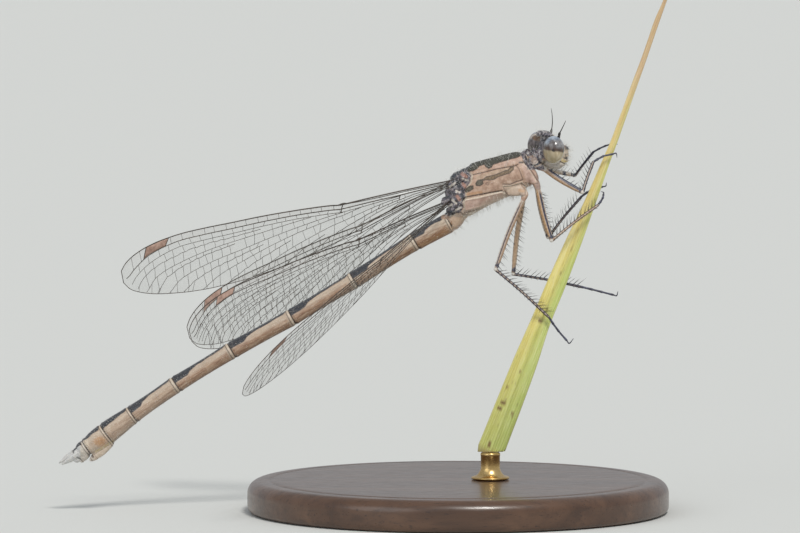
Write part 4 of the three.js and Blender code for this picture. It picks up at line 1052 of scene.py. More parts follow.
EYE_MAT = eye_material()
for nm, sgn in (("eye_right", -1), ("eye_left", 1)):
    o = eye_object(nm + "_bead", sgn)
    o.data.materials.append(EYE_MAT)
    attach(o, "root")
    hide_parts(nm)

# ------------------------------------------------------------------ feelers
def flat_mat(name, stops, size, rough, bump=0.01, slotted=None):
    m = Mat(name, Roughness=rough)
    c = m.ramp(m.noise(size, 3, 0.6), stops)
    return m.out(c, None, m.bump(m.noise(size * 0.6, 2), bump, 0.5))


FEELER = flat_mat("feeler_black", [(0.3, (0.012, 0.010, 0.009)), (0.7, (0.035, 0.026, 0.02))], 0.15, 0.4)
for nm, pts, r0 in (
    ("antenna_right", [seen(558.0, 139.0, -0.55), seen(558.9, 136.2, -0.66), seen(559.6, 133.4, -0.75), seen(561.4, 129.8, -0.9), seen(563.6, 125.4, -1.1), seen(565.8, 120.6, -1.35)], 1.0),
    ("antenna_left", [seen(550.0, 139.0, 0.5), seen(550.5, 134.8, 0.55), seen(551.3, 131.2, 0.6), seen(552.4, 123.0, 0.68), seen(552.2, 115.5, 0.75), seen(551.2, 108.4, 0.85)], 0.9),
):
    b = Build()
    pth = path_fn(pts)
    b.tube(pth, lambda s: np.interp(s, [0, 0.1, 0.14, 0.28, 0.31, 0.34, 0.9, 1], [0.10, 0.105, 0.08, 0.085, 0.055, 0.036, 0.020, 0.012]) * r0, 70, 12)
    o = b.object(nm + "_fine", [FEELER])
    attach(o, "root")
    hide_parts(nm)

# ------------------------------------------------------------------ legs
SPINES = []  # (root, direction, length, thickness, leg number, share)


def leg_object(name, leg, number):
    kind, sgn = name.split("_")[1], (-1 if name.startswith("right") else 1)
    hip, knee, ankle = at(*leg["coxa"][1]), at(*leg["knee"]), at(*leg["ankle"])
    foot = [ankle] + [at(*q) for q in leg["foot"]]
    claw = at(*leg["claw"])
    fd = unit(knee - hip)
    start = hip + fd * 0.18
    td = unit(ankle - knee)
    flex = unit(td - fd * (td @ fd))  # towards the side that the leg folds to
    flex2 = unit(-fd + td * (fd @ td))
    b = Build()
    marks = []

    def limb(path, radius, n, m, flexdir, part, squash=0.86):
        s = np.linspace(0, 1, n)
        c = path(s)
        t = unit(np.gradient(c, axis=0))
        fx = unit(flexdir - t * (t @ flexdir)[:, None])
        sd = unit(np.cross(t, fx))
        r = radius(s)
        ang = np.linspace(0, 2 * math.pi, m, endpoint=False)
        rings = c[:, None] + r[:, None, None] * (np.cos(ang)[None, :, None] * fx[:, None] + squash * np.sin(ang)[None, :, None] * sd[:, None])
        sh = np.repeat(s[:, None], m, 1)
        an = np.repeat(ang[None], n, 0)
        e0, e1 = [], []
        for q in (0.92, 0.7, 0.35):
            k = math.sqrt(1 - q * q)
            e0.append(c[0] - t[0] * r[0] * k * 0.9 + (rings[0] - c[0]) * q)
            e1.append(c[-1] + t[-1] * r[-1] * k * 0.9 + (rings[-1] - c[-1]) * q)
        rings = np.concatenate([np.array(e0[::-1]), rings, np.array(e1)])
        sh = np.concatenate([np.zeros((3, m)), sh, np.ones((3, m))])
        an = np.concatenate([an[:3], an, an[:3]])
        b.rings(rings)
        # how far each point faces outward from the body
        turn = sgn * (np.cos(an) * fx[:, 1][np.r_[[0] * 3, 0:n, [n - 1] * 3]][:, None] + np.sin(an) * sd[:, 1][np.r_[[0] * 3, 0:n, [n - 1] * 3]][:, None])
        marks.append((np.concatenate([sh.ravel(), [0, 1]]), np.concatenate([an.ravel(), [0, 0]]), part, np.concatenate([turn.ravel(), [0, 0]])))
        return c, t, fx, sd, r

    fr = np.array(FEMUR_R[kind]) * (1.0 if sgn < 0 else 1.02 if kind == "hind" else 0.84)
    L1 = np.linalg.norm(knee - start)
    fpath = path_fn([start, start + (knee - start) * 0.5 - flex * 0.02 * L1, knee])
    fem = limb(fpath, lambda s: np.interp(s, [0, 0.06, 0.3, 0.8, 0.93, 0.97, 1.0], [fr[0] * 0.9, fr[0], fr[1], fr[2], fr[3], fr[3] * 1.08, fr[3]]), 60, 28, flex, 0)
    tr = {"fore": 0.106, "mid": 0.100, "hind": 0.098}[kind] * (1.0 if sgn < 0 else 0.92)
    L2 = np.linalg.norm(ankle - knee)
    tpath = path_fn([knee + flex * 0.02, knee + (ankle - knee) * 0.5 + flex2 * 0.012 * L2, ankle])
    tib = limb(tpath, lambda s: np.interp(s, [0, 0.03, 0.08, 0.5, 0.94, 1.0], [tr * 1.1, tr * 1.15, tr * 0.95, tr * 0.88, tr * 0.95, tr * 0.85]), 60, 22, flex2, 1, 0.8)
    # foot: three joints, the last one longest
    fp = np.array(foot)
    for k in range(len(fp) - 1):
        a0, a1 = fp[k], fp[k + 1]
        d = unit(a1 - a0)
        nrm = flex2 if abs(flex2 @ d) < 0.9 else np.array([0, 0, 1.0])
        rr = (0.078, 0.072, 0.068)[min(k, 2)]
        limb(path_fn([a0 - d * 0.02, (a0 + a1) / 2, a1 + d * 0.01]), lambda s, rr=rr: np.interp(s, [0, 0.1, 0.6, 0.92, 1], [rr * 0.7, rr * 0.85, rr * 0.9, rr * 1.1, rr * 0.9]), 18, 14, nrm, 2, 0.85)
    # claws: a pair of hooks
    end = fp[-1]
    d = unit(fp[-1] - fp[-2])
    hook = claw - end
    for q in (-1, 1):
        off = np.array([0, q * 0.07, 0])
        mid = end + d * np.linalg.norm(hook) * 0.55 + off
        tipp = claw + off * 1.6
        c = limb(path_fn([end + off * 0.3, mid, tipp]), lambda s: np.interp(s, [0, 0.5, 1], [0.042, 0.034, 0.010]), 14, 8, np.array([0, 0, 1.0]), 2, 1.0)
    # spines in two rows on the folding side of thigh and shin, and a few short ones outside
    def row(curve, first, last, gap, angle, length, lean, thick, share0):
        c, t, fx, sd, r = curve
        ln = np.linalg.norm(c[-1] - c[0])
        for k, s in enumerate(np.arange(first, last, gap / ln)):
            i = int(s * (len(c) - 1))
            for q in (-1, 1):
                jit = rng.normal(0, 0.03, 3)
                a = angle * q + rng.normal(0, 0.05)
                out = math.cos(a) * fx[i] + math.sin(a) * sd[i]
                root = c[i] + out * r[i] * 0.85 + t[i] * rng.normal(0, 0.03)
                dirn = unit(out + t[i] * lean + jit)
                SPINES.append((root, dirn, length * rng.uniform(0.85, 1.15), thick, number, share0 + 0.45 * s))

    row(fem, 0.12, 0.97, 0.31, 0.5, 0.42 if kind == "fore" else 0.52, 0.5, 0.017, 0.0)
    row(tib, 0.06, 0.97, 0.28, 0.5, 0.68 if kind != "fore" else 0.56, 0.75, 0.018, 0.5)
    row(tib, 0.10, 0.95, 0.34, 2.5, 0.20, 1.2, 0.011, 0.5)
    row(fem, 0.10, 0.95, 0.30, 2.4, 0.14, 1.3, 0.010, 0.0)
    o = b.object("leg_" + name)
    # markings
    dark, amber, pale = [], [], []
    pp = verts_of(o)
    first = 0
    for sh, an, part, turn in marks:
        q = pp[first:first + len(sh)]
        first += len(sh)
        ca = np.cos(an)  # 1 on the folding side
        outer = step(-0.25, 0.15, turn)
        dots = step(0.42, 0.62, wave(q, 0.10, 2.0 + number))
        if part == 0:
            if kind == "hind":
                dk = step(-0.80, -0.64, ca) * step(-0.22, -0.38, ca) * 0.9
                pl = np.maximum(step(-0.72, -0.86, ca), np.exp(-(((ca + 0.10) / 0.16) ** 2)) * 0.85)
                am = step(0.2, 0.6, ca) * 0.45
            else:
                lo = -0.24 if kind == "mid" else 0.30 - 0.62 * sh
                dk = np.maximum(step(lo, lo + 0.15, ca) * step(0.66, 0.48, ca * (kind == "mid")), step(-0.93, -0.99, ca) * 0.5)
                pl = np.exp(-(((ca - lo + 0.08) / 0.12) ** 2)) * 0.85 + 0.8 * step(0.52, 0.68, ca) * (kind == "mid")
                am = step(-0.25, -0.45, ca) * (0.85 if kind == "mid" else 0.5)
            dk = dk * step(0.06, 0.16, sh) * outer
            inner = 1 - outer
            blotch = step(-0.1, 0.35, wave(q, 0.20, 5.0)) if kind == "fore" else dots * 0.8
            dk = np.maximum(dk, inner * blotch)
            pl = pl * outer + inner * ((0.26 + 0.40 * step(0.45, 0.85, np.abs(ca))) if kind == "hind" else (0.45 + 0.5 * step(0.30, 0.70, np.abs(ca)))) + step(0.13, 0.0, sh) * 0.6
            am = am * outer + inner * (0.62 if kind == "hind" else 0.6 * step(0.5, 0.2, np.abs(ca)))
            dk = np.maximum(dk, step(0.90, 0.93, sh + 0.02 * ca) * 0.95) * step(0.975, 0.962, sh - 0.006 * ca)
            pl = np.maximum(pl, step(0.962, 0.972, sh))
        elif part == 1:
            ln = L2 / (0.30 if kind == "hind" else 0.22)
            dash = 1.0 if kind == "fore" else step(-0.35, 0.1, np.sin(sh * ln * 2 * math.pi))
            centre = np.exp(-((ca / (0.30 if kind == "fore" else 0.42)) ** 2))
            pl = np.maximum(centre * dash * (1.0 if sgn < 0 else 0.8 * step(0.55, 0.35, sh)), step(0.02, 0.0, sh) * 0.8)
            am = (0.55 if kind == "mid" and sgn < 0 else 0.15) * step(0.9, 0.5, np.abs(ca))
            dk = np.clip(1 - 0.9 * centre * (0.95 if sgn < 0 else 0.3) * ((0.35 + 0.65 * dash) if kind == "hind" else 1.0), 0, 1) * (0.8 if kind == "mid" and sgn < 0 else 1.0)
            dk = np.maximum(dk, step(0.96, 1.0, sh))
            dk = dk * (1 - 0.85 * pl)
        else:
            dk, am, pl = np.full(sh.shape, 0.97), np.zeros(sh.shape), np.zeros(sh.shape)
        dark.append(dk), amber.append(am), pale.append(pl)
    paint(o, "leg_a", np.concatenate(dark), np.concatenate(amber), np.concatenate(pale))
    return o


def leg_material():
    m = Mat("leg_skin", Roughness=0.38)
    dark, amber, pale = m.attr("leg_a")
    fine = m.noise(0.10, 3, 0.62)
    c = m.ramp(fine, [(0.32, (0.28, 0.175, 0.12)), (0.68, (0.50, 0.35, 0.26))])
    c = m.mix(amber, c, m.ramp(fine, [(0.3, (0.33, 0.175, 0.060)), (0.7, (0.56, 0.34, 0.15))]))
    c = m.mix(m.math("MULTIPLY", pale, 0.92), c, m.ramp(fine, [(0.3, (0.42, 0.35, 0.28)), (0.7, (0.68, 0.61, 0.52))]))
    c = m.mix(m.span(pale, 0.90, 0.99, 0.0, 0.7), c, (0.72, 0.69, 0.64))
    c = m.mix(dark, c, m.ramp(fine, [(0.3, (0.010, 0.010, 0.018)), (0.5, (0.030, 0.034, 0.060)), (0.72, (0.12, 0.145, 0.225))]))
    sp = m.noise(0.05, 2, 0.7)
    c = m.mix(m.span(sp, 0.58, 0.70, 0.0, 0.5), c, (0.07, 0.04, 0.028))
    return m.out(c, None, m.bump(m.noise(0.06, 3), 0.012, 0.7))


LEG_MAT = leg_material()
for k, (name, leg) in enumerate(LEGS.items()):
    o = leg_object(name, leg, k)
    o.data.materials.append(LEG_MAT)
    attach(o, "root")
    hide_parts("femur_" + name, "tibia_" + name, "tarsus_" + name)


# ------------------------------------------------------------------ hairs and spines: solid tapered bristles in joined meshes
def bristles(name, rows, mat, bend=0.25, steps=3, gravity=0.0):
    """rows: root, direction, length, thickness (radius), and the root's place on the skin's unwrap."""
    n = len(rows)
    root = np.array([r[0] for r in rows])
    d = unit(np.array([r[1] for r in rows]))
    ln = np.array([r[2] for r in rows])
    th = np.array([r[3] for r in rows])
    uv = np.array([r[4] for r in rows])
    ref = np.where(np.abs(d[:, 2:3]) < 0.9, [[0, 0, 1.0]], [[1.0, 0, 0]])
    s1 = unit(np.cross(d, ref))
    s2 = np.cross(d, s1)
    ang = rng.uniform(0, 2 * math.pi, n)
    side = np.cos(ang)[:, None] * s1 + np.sin(ang)[:, None] * s2
    verts, faces = [], []
    per = steps * 3 + 1
    V = np.zeros((n, per, 3))
    for i in range(steps):
        t = i / steps
        c = root + d * (ln * (t - 0.04))[:, None] + side * (bend * ln * t * t)[:, None]
        r = th * (1 - 0.75 * t)
        for j in range(3):
            a = 2 * math.pi * j / 3
            V[:, i * 3 + j] = c + r[:, None] * (math.cos(a) * s1 + math.sin(a) * s2)
    V[:, -1] = root + d * ln[:, None] + side * (bend * ln)[:, None]
    F = []
    for i in range(steps - 1):
        for j in range(3):
            k = (j + 1) % 3
            F.append((i * 3 + j, i * 3 + k, i * 3 + 3 + k, i * 3 + 3 + j))
    for j in range(3):
        k = (j + 1) % 3
        F.append(((steps - 1) * 3 + j, (steps - 1) * 3 + k, per - 1))
    F.append((2, 1, 0))
    faces = [tuple(q + h * per for q in f) for h in range(n) for f in F]
    o = new_object(name, V.reshape(-1, 3), faces, mats=[mat])
    lay = o.data.uv_layers.new(name="OFBake")
    idx = np.empty(len(o.data.loops), int)
    o.data.loops.foreach_get("vertex_index", idx)
    hair = idx // per
    loc = idx % per
    off = np.stack([np.cos(loc * 2.1), np.sin(loc * 2.1)], 1) * 0.0013 * (loc[:, None] / per * 0.8 + 0.2)
    lay.data.foreach_set("uv", (uv[hair] + off).ravel())
    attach(o, "root")
    return o


def unwrap(p):
    """A root's place on a flat layout of the skin: head, thorax and tail each have a strip, by length and by angle round it."""
    u, v, a, up, rel, in_head, in_tail = zones(p)
    idx, s, h, dist, ln = tail_local(p)
    out = np.zeros((len(p), 2))
    th = np.arctan2(p[:, 1], p[:, 2] - at(0, 180)[2]) / (2 * math.pi) + 0.5
    out[:, 0] = 0.03 + 0.30 * np.clip((a + 14) / 96, 0, 1)
    out[:, 1] = 0.03 + 0.44 * (np.arctan2(p[:, 1], up / GRID) / (2 * math.pi) + 0.5)
    t = in_tail
    out[t, 0] = 0.36 + 0.6 * ((idx + s) / 10)[t]
    out[t, 1] = 0.03 + 0.44 * (np.arctan2(p[:, 1], h * np.abs(dist)) / (2 * math.pi) + 0.5)[t]
    q = in_head
    d = unit(rel)
    out[q, 0] = 0.03 + 0.44 * (np.arctan2(d[:, 1], d[:, 0]) / (2 * math.pi) + 0.5)[q]
    out[q, 1] = 0.52 + 0.44 * (np.arccos(np.clip(d[:, 2], -1, 1)) / math.pi)[q]
    return out


def hair_rows(o, count, keep, length, lean, thick, spread=0.25, seed=1):
    """Roots spread evenly over the skin where keep says so; lean is a direction that hairs bow to."""
    r = np.random.default_rng(seed)
    me = o.data
    me.calc_loop_triangles()
    tri = np.empty(len(me.loop_triangles) * 3, int)
    me.loop_triangles.foreach_get("vertices", tri)
    tri = tri.reshape(-1, 3)
    p, n = verts_of(o), normals_of(o)
    cen = p[tri].mean(1)
    area = np.linalg.norm(np.cross(p[tri[:, 1]] - p[tri[:, 0]], p[tri[:, 2]] - p[tri[:, 0]]), axis=1)
    w = area * keep(cen, unit(n[tri].mean(1)))
    pick = r.choice(len(tri), count, p=w / w.sum())
    a = r.dirichlet((1, 1, 1), count)
    root = (p[tri[pick]] * a[:, :, None]).sum(1)
    nn = unit((n[tri[pick]] * a[:, :, None]).sum(1))
    ln = length(root, nn) * r.uniform(0.6, 1.25, count)
    d = unit(nn + lean(root, nn) + r.normal(0, spread, (count, 3)))
    uv = unwrap(root)
    return [(root[i], d[i], ln[i], thick * r.uniform(0.8, 1.2), uv[i]) for i in range(count)]


def hair_material(name, col_a, col_b):
    m = Mat(name, Roughness=0.45)
    return m.out(m.ramp(m.noise(0.3, 2), [(0.3, col_a), (0.7, col_b)]))


PALE_HAIR = hair_material("pale_hair", (0.80, 0.78, 0.73), (0.93, 0.92, 0.88))
DARK_HAIR = hair_material("dark_bristle", (0.014, 0.012, 0.012), (0.04, 0.034, 0.03))
back_dir = np.array([-0.5, 0, 0.25])


def on_thorax(c, n):
    u, v, a, up, rel, ih, it = zones(c)
    top = step(0.35, 0.8, n[:, 2]) * (up > 8)
    under = step(-0.3, -0.75, n[:, 2]) * (up < -6)
    rest = 0.06
    return (~ih & ~it) * (0.55 * top + 1.0 * under + rest) * (u < 545)


def on_head(c, n):
    u, v, a, up, rel, ih, it = zones(c)
    al = np.abs(rel[:, 1])
    return ih * (0.15 + 2.4 * (rel[:, 0] > 0.55) * (al < 0.42) + 0.7 * (rel[:, 2] > 0.3))


def on_tail(c, n):
    u, v, a, up, rel, ih, it = zones(c)
    return it * (0.5 + 0.8 * (u < 120))


rows = hair_rows(skin, 950, on_thorax, lambda p, n: np.where(n[:, 2] > 0, 0.46, 0.44), lambda p, n: np.tile([-0.25, 0, 0.12], (len(p), 1)), 0.0068, 0.28, 3)
root = seen(505.8, 165.6, -1.02)
rows.append((root, unit(seen(516.5, 144.5, -1.7) - root), np.linalg.norm(seen(516.5, 144.5, -1.7) - root), 0.014, unwrap(root[None])[0]))
bristles("thorax_hairs", rows, PALE_HAIR, 0.2)
bristles("head_hairs", hair_rows(skin, 520, on_head, lambda p, n: np.where((n @ HF) > 0.2, 0.44, 0.20), lambda p, n: 0.35 * np.tile(HF, (len(p), 1)) + [0, 0, 0.1], 0.0060, 0.26, 4), PALE_HAIR, 0.2)
bristles("tail_hairs", hair_rows(skin, 2200, on_tail, lambda p, n: 0.11 + 0 * p[:, 0], lambda p, n: np.tile([-0.9, 0, -0.5], (len(p), 1)), 0.0055, 0.2, 5), PALE_HAIR, 0.15)
sp = []
for root, d, ln, th, number, share in SPINES:
    sp.append((root, d, ln, th, np.array([0.52 + 0.46 * share, 0.53 + 0.07 * number + 0.0004 * (len(sp) % 90)])))
bristles("leg_spines", sp, DARK_HAIR, 0.03, 3)

# ------------------------------------------------------------------ wings
WING_EDGE = [
    [0.0, 3.0, -3.0], [0.06, 4.4, -3.6], [0.12, 5.6, -4.6], [0.18, 6.6, -8.0], [0.24, 7.4, -14.0], [0.3, 8.0, -20.5],
    [0.337, 8.3, -24.0], [0.37, 10.4, -27.0], [0.43, 13.2, -31.4], [0.5, 15.8, -35.0], [0.58, 18.2, -38.0], [0.66, 19.8, -39.6],
    [0.74, 21.6, -39.0], [0.8, 22.3, -37.2], [0.86, 21.2, -33.8], [0.91, 18.4, -29.8], [0.95, 13.8, -24.6], [0.98, 7.6, -18.2], [0.995, 1.6, -10.5],
]
LEAD = curve_fn([[a, b] for a, b, _ in WING_EDGE])
TRAIL = curve_fn([[a, c] for a, _, c in WING_EDGE])
WINGS = {
    "wing_right_fore": (at(455, 183, -0.62), at(123.5, 272, -5), 0.95, 1, 22.0, 0.885),
    "wing_right_hind": (at(449, 203, -0.66), at(246.5, 384, -11.2), 0.42, 1, 20.1, 0.84),
    "wing_left_fore": (at(455, 183, 0.7), at(181, 330, 11), 0.86, -1, 22.0, 0.885),
    "wing_left_hind": (at(449, 203.5, 0.34), at(184.5, 333, 8.4), 0.86, -1, 20.1, 0.84),
}
# the long veins: [share of the length, share of the chord from the leading edge]
VEINS = {
    "Sc": [[0.0, 0.22], [0.12, 0.16], [0.24, 0.075], [0.337, 0.0]],
    "R": [[0.0, 0.40], [0.08, 0.34], [0.16, 0.28], [0.25, 0.18], [0.337, 0.135], [0.5, 0.098], [0.8, 0.105], [0.9, 0.17], [0.955, 0.34], [0.985, 0.6]],
    "RP": [[0.165, 0.34], [0.25, 0.27], [0.337, 0.225], [0.5, 0.175], [0.8, 0.20], [0.9, 0.32], [0.955, 0.56], [0.972, 0.80]],
    "IR1": [[0.58, 0.22], [0.75, 0.27], [0.88, 0.42], [0.935, 0.62], [0.957, 0.90]],
    "RP2": [[0.43, 0.20], [0.55, 0.27], [0.7, 0.34], [0.82, 0.47], [0.90, 0.66], [0.935, 0.98]],
    "IR1b": [[0.66, 0.36], [0.78, 0.48], [0.87, 0.70], [0.905, 1.0]],
    "IR2": [[0.337, 0.235], [0.45, 0.33], [0.6, 0.45], [0.74, 0.58], [0.83, 0.76], [0.872, 1.0]],
    "IR2b": [[0.58, 0.50], [0.70, 0.64], [0.79, 0.82], [0.83, 1.0]],
    "RP3": [[0.28, 0.255], [0.38, 0.37], [0.5, 0.49], [0.62, 0.64], [0.72, 0.82], [0.775, 1.0]],
    "RP3b": [[0.50, 0.57], [0.6, 0.74], [0.67, 0.89], [0.705, 1.0]],
    "MA": [[0.165, 0.50], [0.22, 0.46], [0.33, 0.50], [0.45, 0.64], [0.55, 0.81], [0.63, 1.0]],
    "MAb": [[0.40, 0.68], [0.47, 0.83], [0.53, 1.0]],
    "MP": [[0.0, 0.62], [0.10, 0.56], [0.165, 0.60], [0.23, 0.60], [0.3, 0.66], [0.38, 0.80], [0.45, 1.0]],
    "CuA": [[0.16, 0.80], [0.22, 0.76], [0.28, 0.82], [0.335, 1.0]],
    "A": [[0.0, 0.82], [0.09, 0.80], [0.16, 0.86], [0.20, 1.0]],
}


class Wing:
    def __init__(self, base, tip, share, side, length):
        s = tip - base
        sy = np.sign(s[1]) * math.sqrt(max(0, 1 - (s[0] ** 2 + s[2] ** 2) / length**2))
        sp = math.sqrt(1 - sy * sy)
        e1 = unit([s[0], 0, s[2]])
        self.span = e1 * sp + np.array([0, sy, 0])
        low = np.array([-e1[2], 0, e1[0]])
        if low[2] > 0:
            low = -low
        cy = side * math.sqrt((1 - share**2) / (1 + (sy / sp) ** 2))
        self.chord = unit(low * share + e1 * (-sy * cy / sp) + np.array([0, cy, 0]))
        self.out = unit(np.cross(self.span, -self.chord))
        self.base, self.length = base, length
        self.k = 1 / 0.95 / GRID

    def place(self, x, w, lift=0.0):
        """x share of the length, w share of the chord from the leading edge, lift off the sheet in mm."""
        x, w = np.asarray(x, float), np.asarray(w, float)
        a, b = LEAD(x), TRAIL(x)
        y = (a + (b - a) * w) * self.k
        # the sheet is pleated near the root and a little cupped towards the tip
        pleat = 0.05 * np.sin(w * 17.0) * (1 - step(0.1, 0.8, x)) * step(0.0, 0.15, w) * step(1.0, 0.85, w)
        cup = 0.28 * (np.sin(np.clip(x, 0, 1) * math.pi) * (w - 0.5) ** 2 * 1.2 - 0.10 * x)
        z = pleat + cup * 0.35 + lift
        return self.base + np.multiply.outer(x * self.length, self.span) - np.multiply.outer(y, -self.chord) * -1 + np.multiply.outer(z, self.out)


def wing_pieces(name, base, tip, share, side, length, stig):
    W = Wing(base, tip, share, side, length)
    r = np.random.default_rng(sum(map(ord, name)))
    flip = np.array([1, 1])
    # membrane: a thin closed slab
    nx, nw = 120, 30
    xs = 0.02 + (0.9955 - 0.02) * (1 - (1 - np.linspace(0, 1, nx)) ** 1.35)
    ws = np.linspace(0, 1, nw)
    X, Wd = np.meshgrid(xs, ws, indexing="ij")
    half = 0.006
    top, bot = W.place(X, Wd, half), W.place(X, Wd, -half)
    v = np.concatenate([top.reshape(-1, 3), bot.reshape(-1, 3)])
    N = nx * nw
    f = []
    for i in range(nx - 1):
        for j in range(nw - 1):
            q = (i * nw + j, (i + 1) * nw + j, (i + 1) * nw + j + 1, i * nw + j + 1)
            f.append(q)
            f.append(tuple(N + k for k in q[::-1]))
    edge = [i * nw for i in range(nx)] + [(nx - 1) * nw + j for j in range(1, nw)] + [i * nw + nw - 1 for i in range(nx - 2, -1, -1)] + [j for j in range(nw - 2, 0, -1)]
    for a, b in zip(edge, edge[1:] + edge[:1]):
        f.append((b, a, N + a, N + b))
    mem = new_object(name + "_membrane", v, f)
    # stigma share for the membrane's tint
    wx = np.concatenate([X.ravel(), X.ravel()])
    ww = np.concatenate([Wd.ravel(), Wd.ravel()])
    paint(mem, "wing_a", step(0.75, 1.0, wx), step(0.2, 0.0, ww), step(0.3, 0.05, wx))

    # veins
    B = Build()

    def vein(xv, wv, radius, sides=5, lift=0.0):
        c = W.place(xv, wv, lift)
        if len(c) < 2:
            return
        t = unit(np.gradient(c, axis=0))
        nn = unit(np.cross(t, W.out))
        bb = np.cross(nn, t)
        ang = np.linspace(0, 2 * math.pi, sides, endpoint=False) + math.pi / sides
        rr = np.asarray(radius) * np.ones(len(c)) * (0.72 if name == "wing_right_hind" else 0.92)
        rings = c[:, None] + rr[:, None, None] * (np.cos(ang)[None, :, None] * nn[:, None] + np.sin(ang)[None, :, None] * bb[:, None])
        B.rings(rings)

    fn = {k: curve_fn(rows) for k, rows in VEINS.items()}
    x = np.linspace(0.0, 0.995, 130)
    vein(x, np.zeros_like(x), np.interp(x, [0, 0.1, 0.337, 0.6, 0.9, 1], [0.05, 0.046, 0.044, 0.038, 0.034, 0.026]), 6)
    x = np.linspace(0.02, 0.995, 150)
    zig = 0.0
    vein(x, np.ones_like(x), np.interp(x, [0, 0.2, 0.5, 1], [0.034, 0.024, 0.022, 0.024]), 5)
    w = np.linspace(0, 1, 20)
    vein(np.full(20, 0.995), w, 0.026, 5)
    for k, rows in VEINS.items():
        x0, x1 = rows[0][0], rows[-1][0]
        x = np.linspace(x0, x1, max(12, int((x1 - x0) * 90)))
        rad = {"R": 0.036, "Sc": 0.024, "RP": 0.024, "MP": 0.024, "A": 0.020}.get(k, 0.019)
        taper = np.interp(x, [x0, x0 + 0.25, x1], [rad, rad * 0.85, max(0.016, rad * 0.55)])
        if k in ("R", "MP", "A", "Sc"):
            taper = np.interp(x, [0, 0.3, x1], [rad * 1.05, rad, rad * 0.7])
        ww = fn[k](x)
        if k.endswith("b") or k in ("MP", "CuA", "IR1"):
            ww = ww + 0.006 * np.sign(np.sin(x * 330)) * step(x0, x0 + 0.1, x)
        vein(x, np.clip(ww, 0, 1), taper, 5)

    # cross veins between neighbours: at each place the long veins are sorted down the chord
    def stack(xx):
        items = [("C", 0.0)]
        for k, rows in VEINS.items():
            if rows[0][0] <= xx <= rows[-1][0]:
                items.append((k, float(fn[k](np.array([xx]))[0])))
        items.append(("Z", 1.0))
        items.sort(key=lambda q: q[1])
        return items

    def at_vein(k, xx):
        if k == "C":
            return 0.0
        if k == "Z":
            return 1.0
        rows = VEINS[k]
        return float(fn[k](np.array([min(max(xx, rows[0][0]), rows[-1][0])]))[0])

    pairs = {}
    for xx in np.arange(0.045, 0.985, 0.0035):
        st = stack(xx)
        for (k0, w0), (k1, w1) in zip(st[:-1], st[1:]):
            pairs.setdefault((k0, k1), []).append(xx)
    for (k0, k1), xx in sorted(pairs.items()):
        xx = np.array(xx)
        gap = {("C", "R"): 0.0315, ("R", "RP"): 0.0315}.get((k0, k1), 0.030)
        if k1 == "Z":
            gap = 0.021
        if k0.endswith("b") or k1.endswith("b"):
            gap = 0.024
        if (k0, k1) in (("C", "Sc"), ("Sc", "R")):
            places = [0.14, 0.225]  # two strong ones before the notch
        elif xx[-1] < 0.20:
            places = [p for p in (0.155,) if xx[0] <= p <= xx[-1]]
        elif k1 in ("A", "CuA") or k0 in ("A",):
            places = [q for q in (0.15, 0.175, 0.205, 0.24, 0.275, 0.31) if xx[0] < q < xx[-1]]
        else:
            places = [q for q in np.arange(xx[0] + gap * r.uniform(0.5, 0.9), xx[-1] - 0.003, gap) if q > 0.245 or k0 == "MA"]
        for p in places:
            p = p + r.normal(0, gap * 0.07)
            if (k0, k1) == ("C", "R") and stig - 0.034 < p < stig + 0.034:
                continue
            w0, w1 = at_vein(k0, p), at_vein(k1, p)
            chord = (LEAD(np.array([p])) - TRAIL(np.array([p])))[0] * W.k
            if w1 - w0 < 0.012 or (w1 - w0) * chord < 0.06:
                continue
            slant = (0.0 if k0 == "C" else 0.004 * r.normal()) + (0.006 if k1 == "Z" else 0)
            q = min(p + slant, 0.985)
            n = 4 if (w1 - w0) * chord > 0.5 else 2
            t = np.linspace(0, 1, n)
            w1 = at_vein(k1, q)
            vein(p + (q - p) * t, w0 + (w1 - w0) * t, 0.0150 if k1 != "Z" else 0.0135, 4)
    # the arculus, the cell behind it and the notch
    vein(np.linspace(0.163, 0.170, 6), np.linspace(0.28, 0.62, 6), 0.028, 5)
    vein(np.linspace(0.225, 0.235, 5), np.linspace(float(fn["MA"](np.array([0.225]))[0]), float(fn["MP"](np.array([0.235]))[0]), 5), 0.024, 5)
    vein(np.linspace(0.333, 0.343, 6), np.linspace(0.0, 0.235, 6), 0.036, 5)
    vein(np.linspace(0.318, 0.352, 8), np.array([0.004, -0.004, -0.012, -0.016, -0.014, -0.008, 0.0, 0.004]), np.array([0.02, 0.05, 0.07, 0.075, 0.065, 0.05, 0.04, 0.02]), 6)
    veins = B.object(name + "_veins")

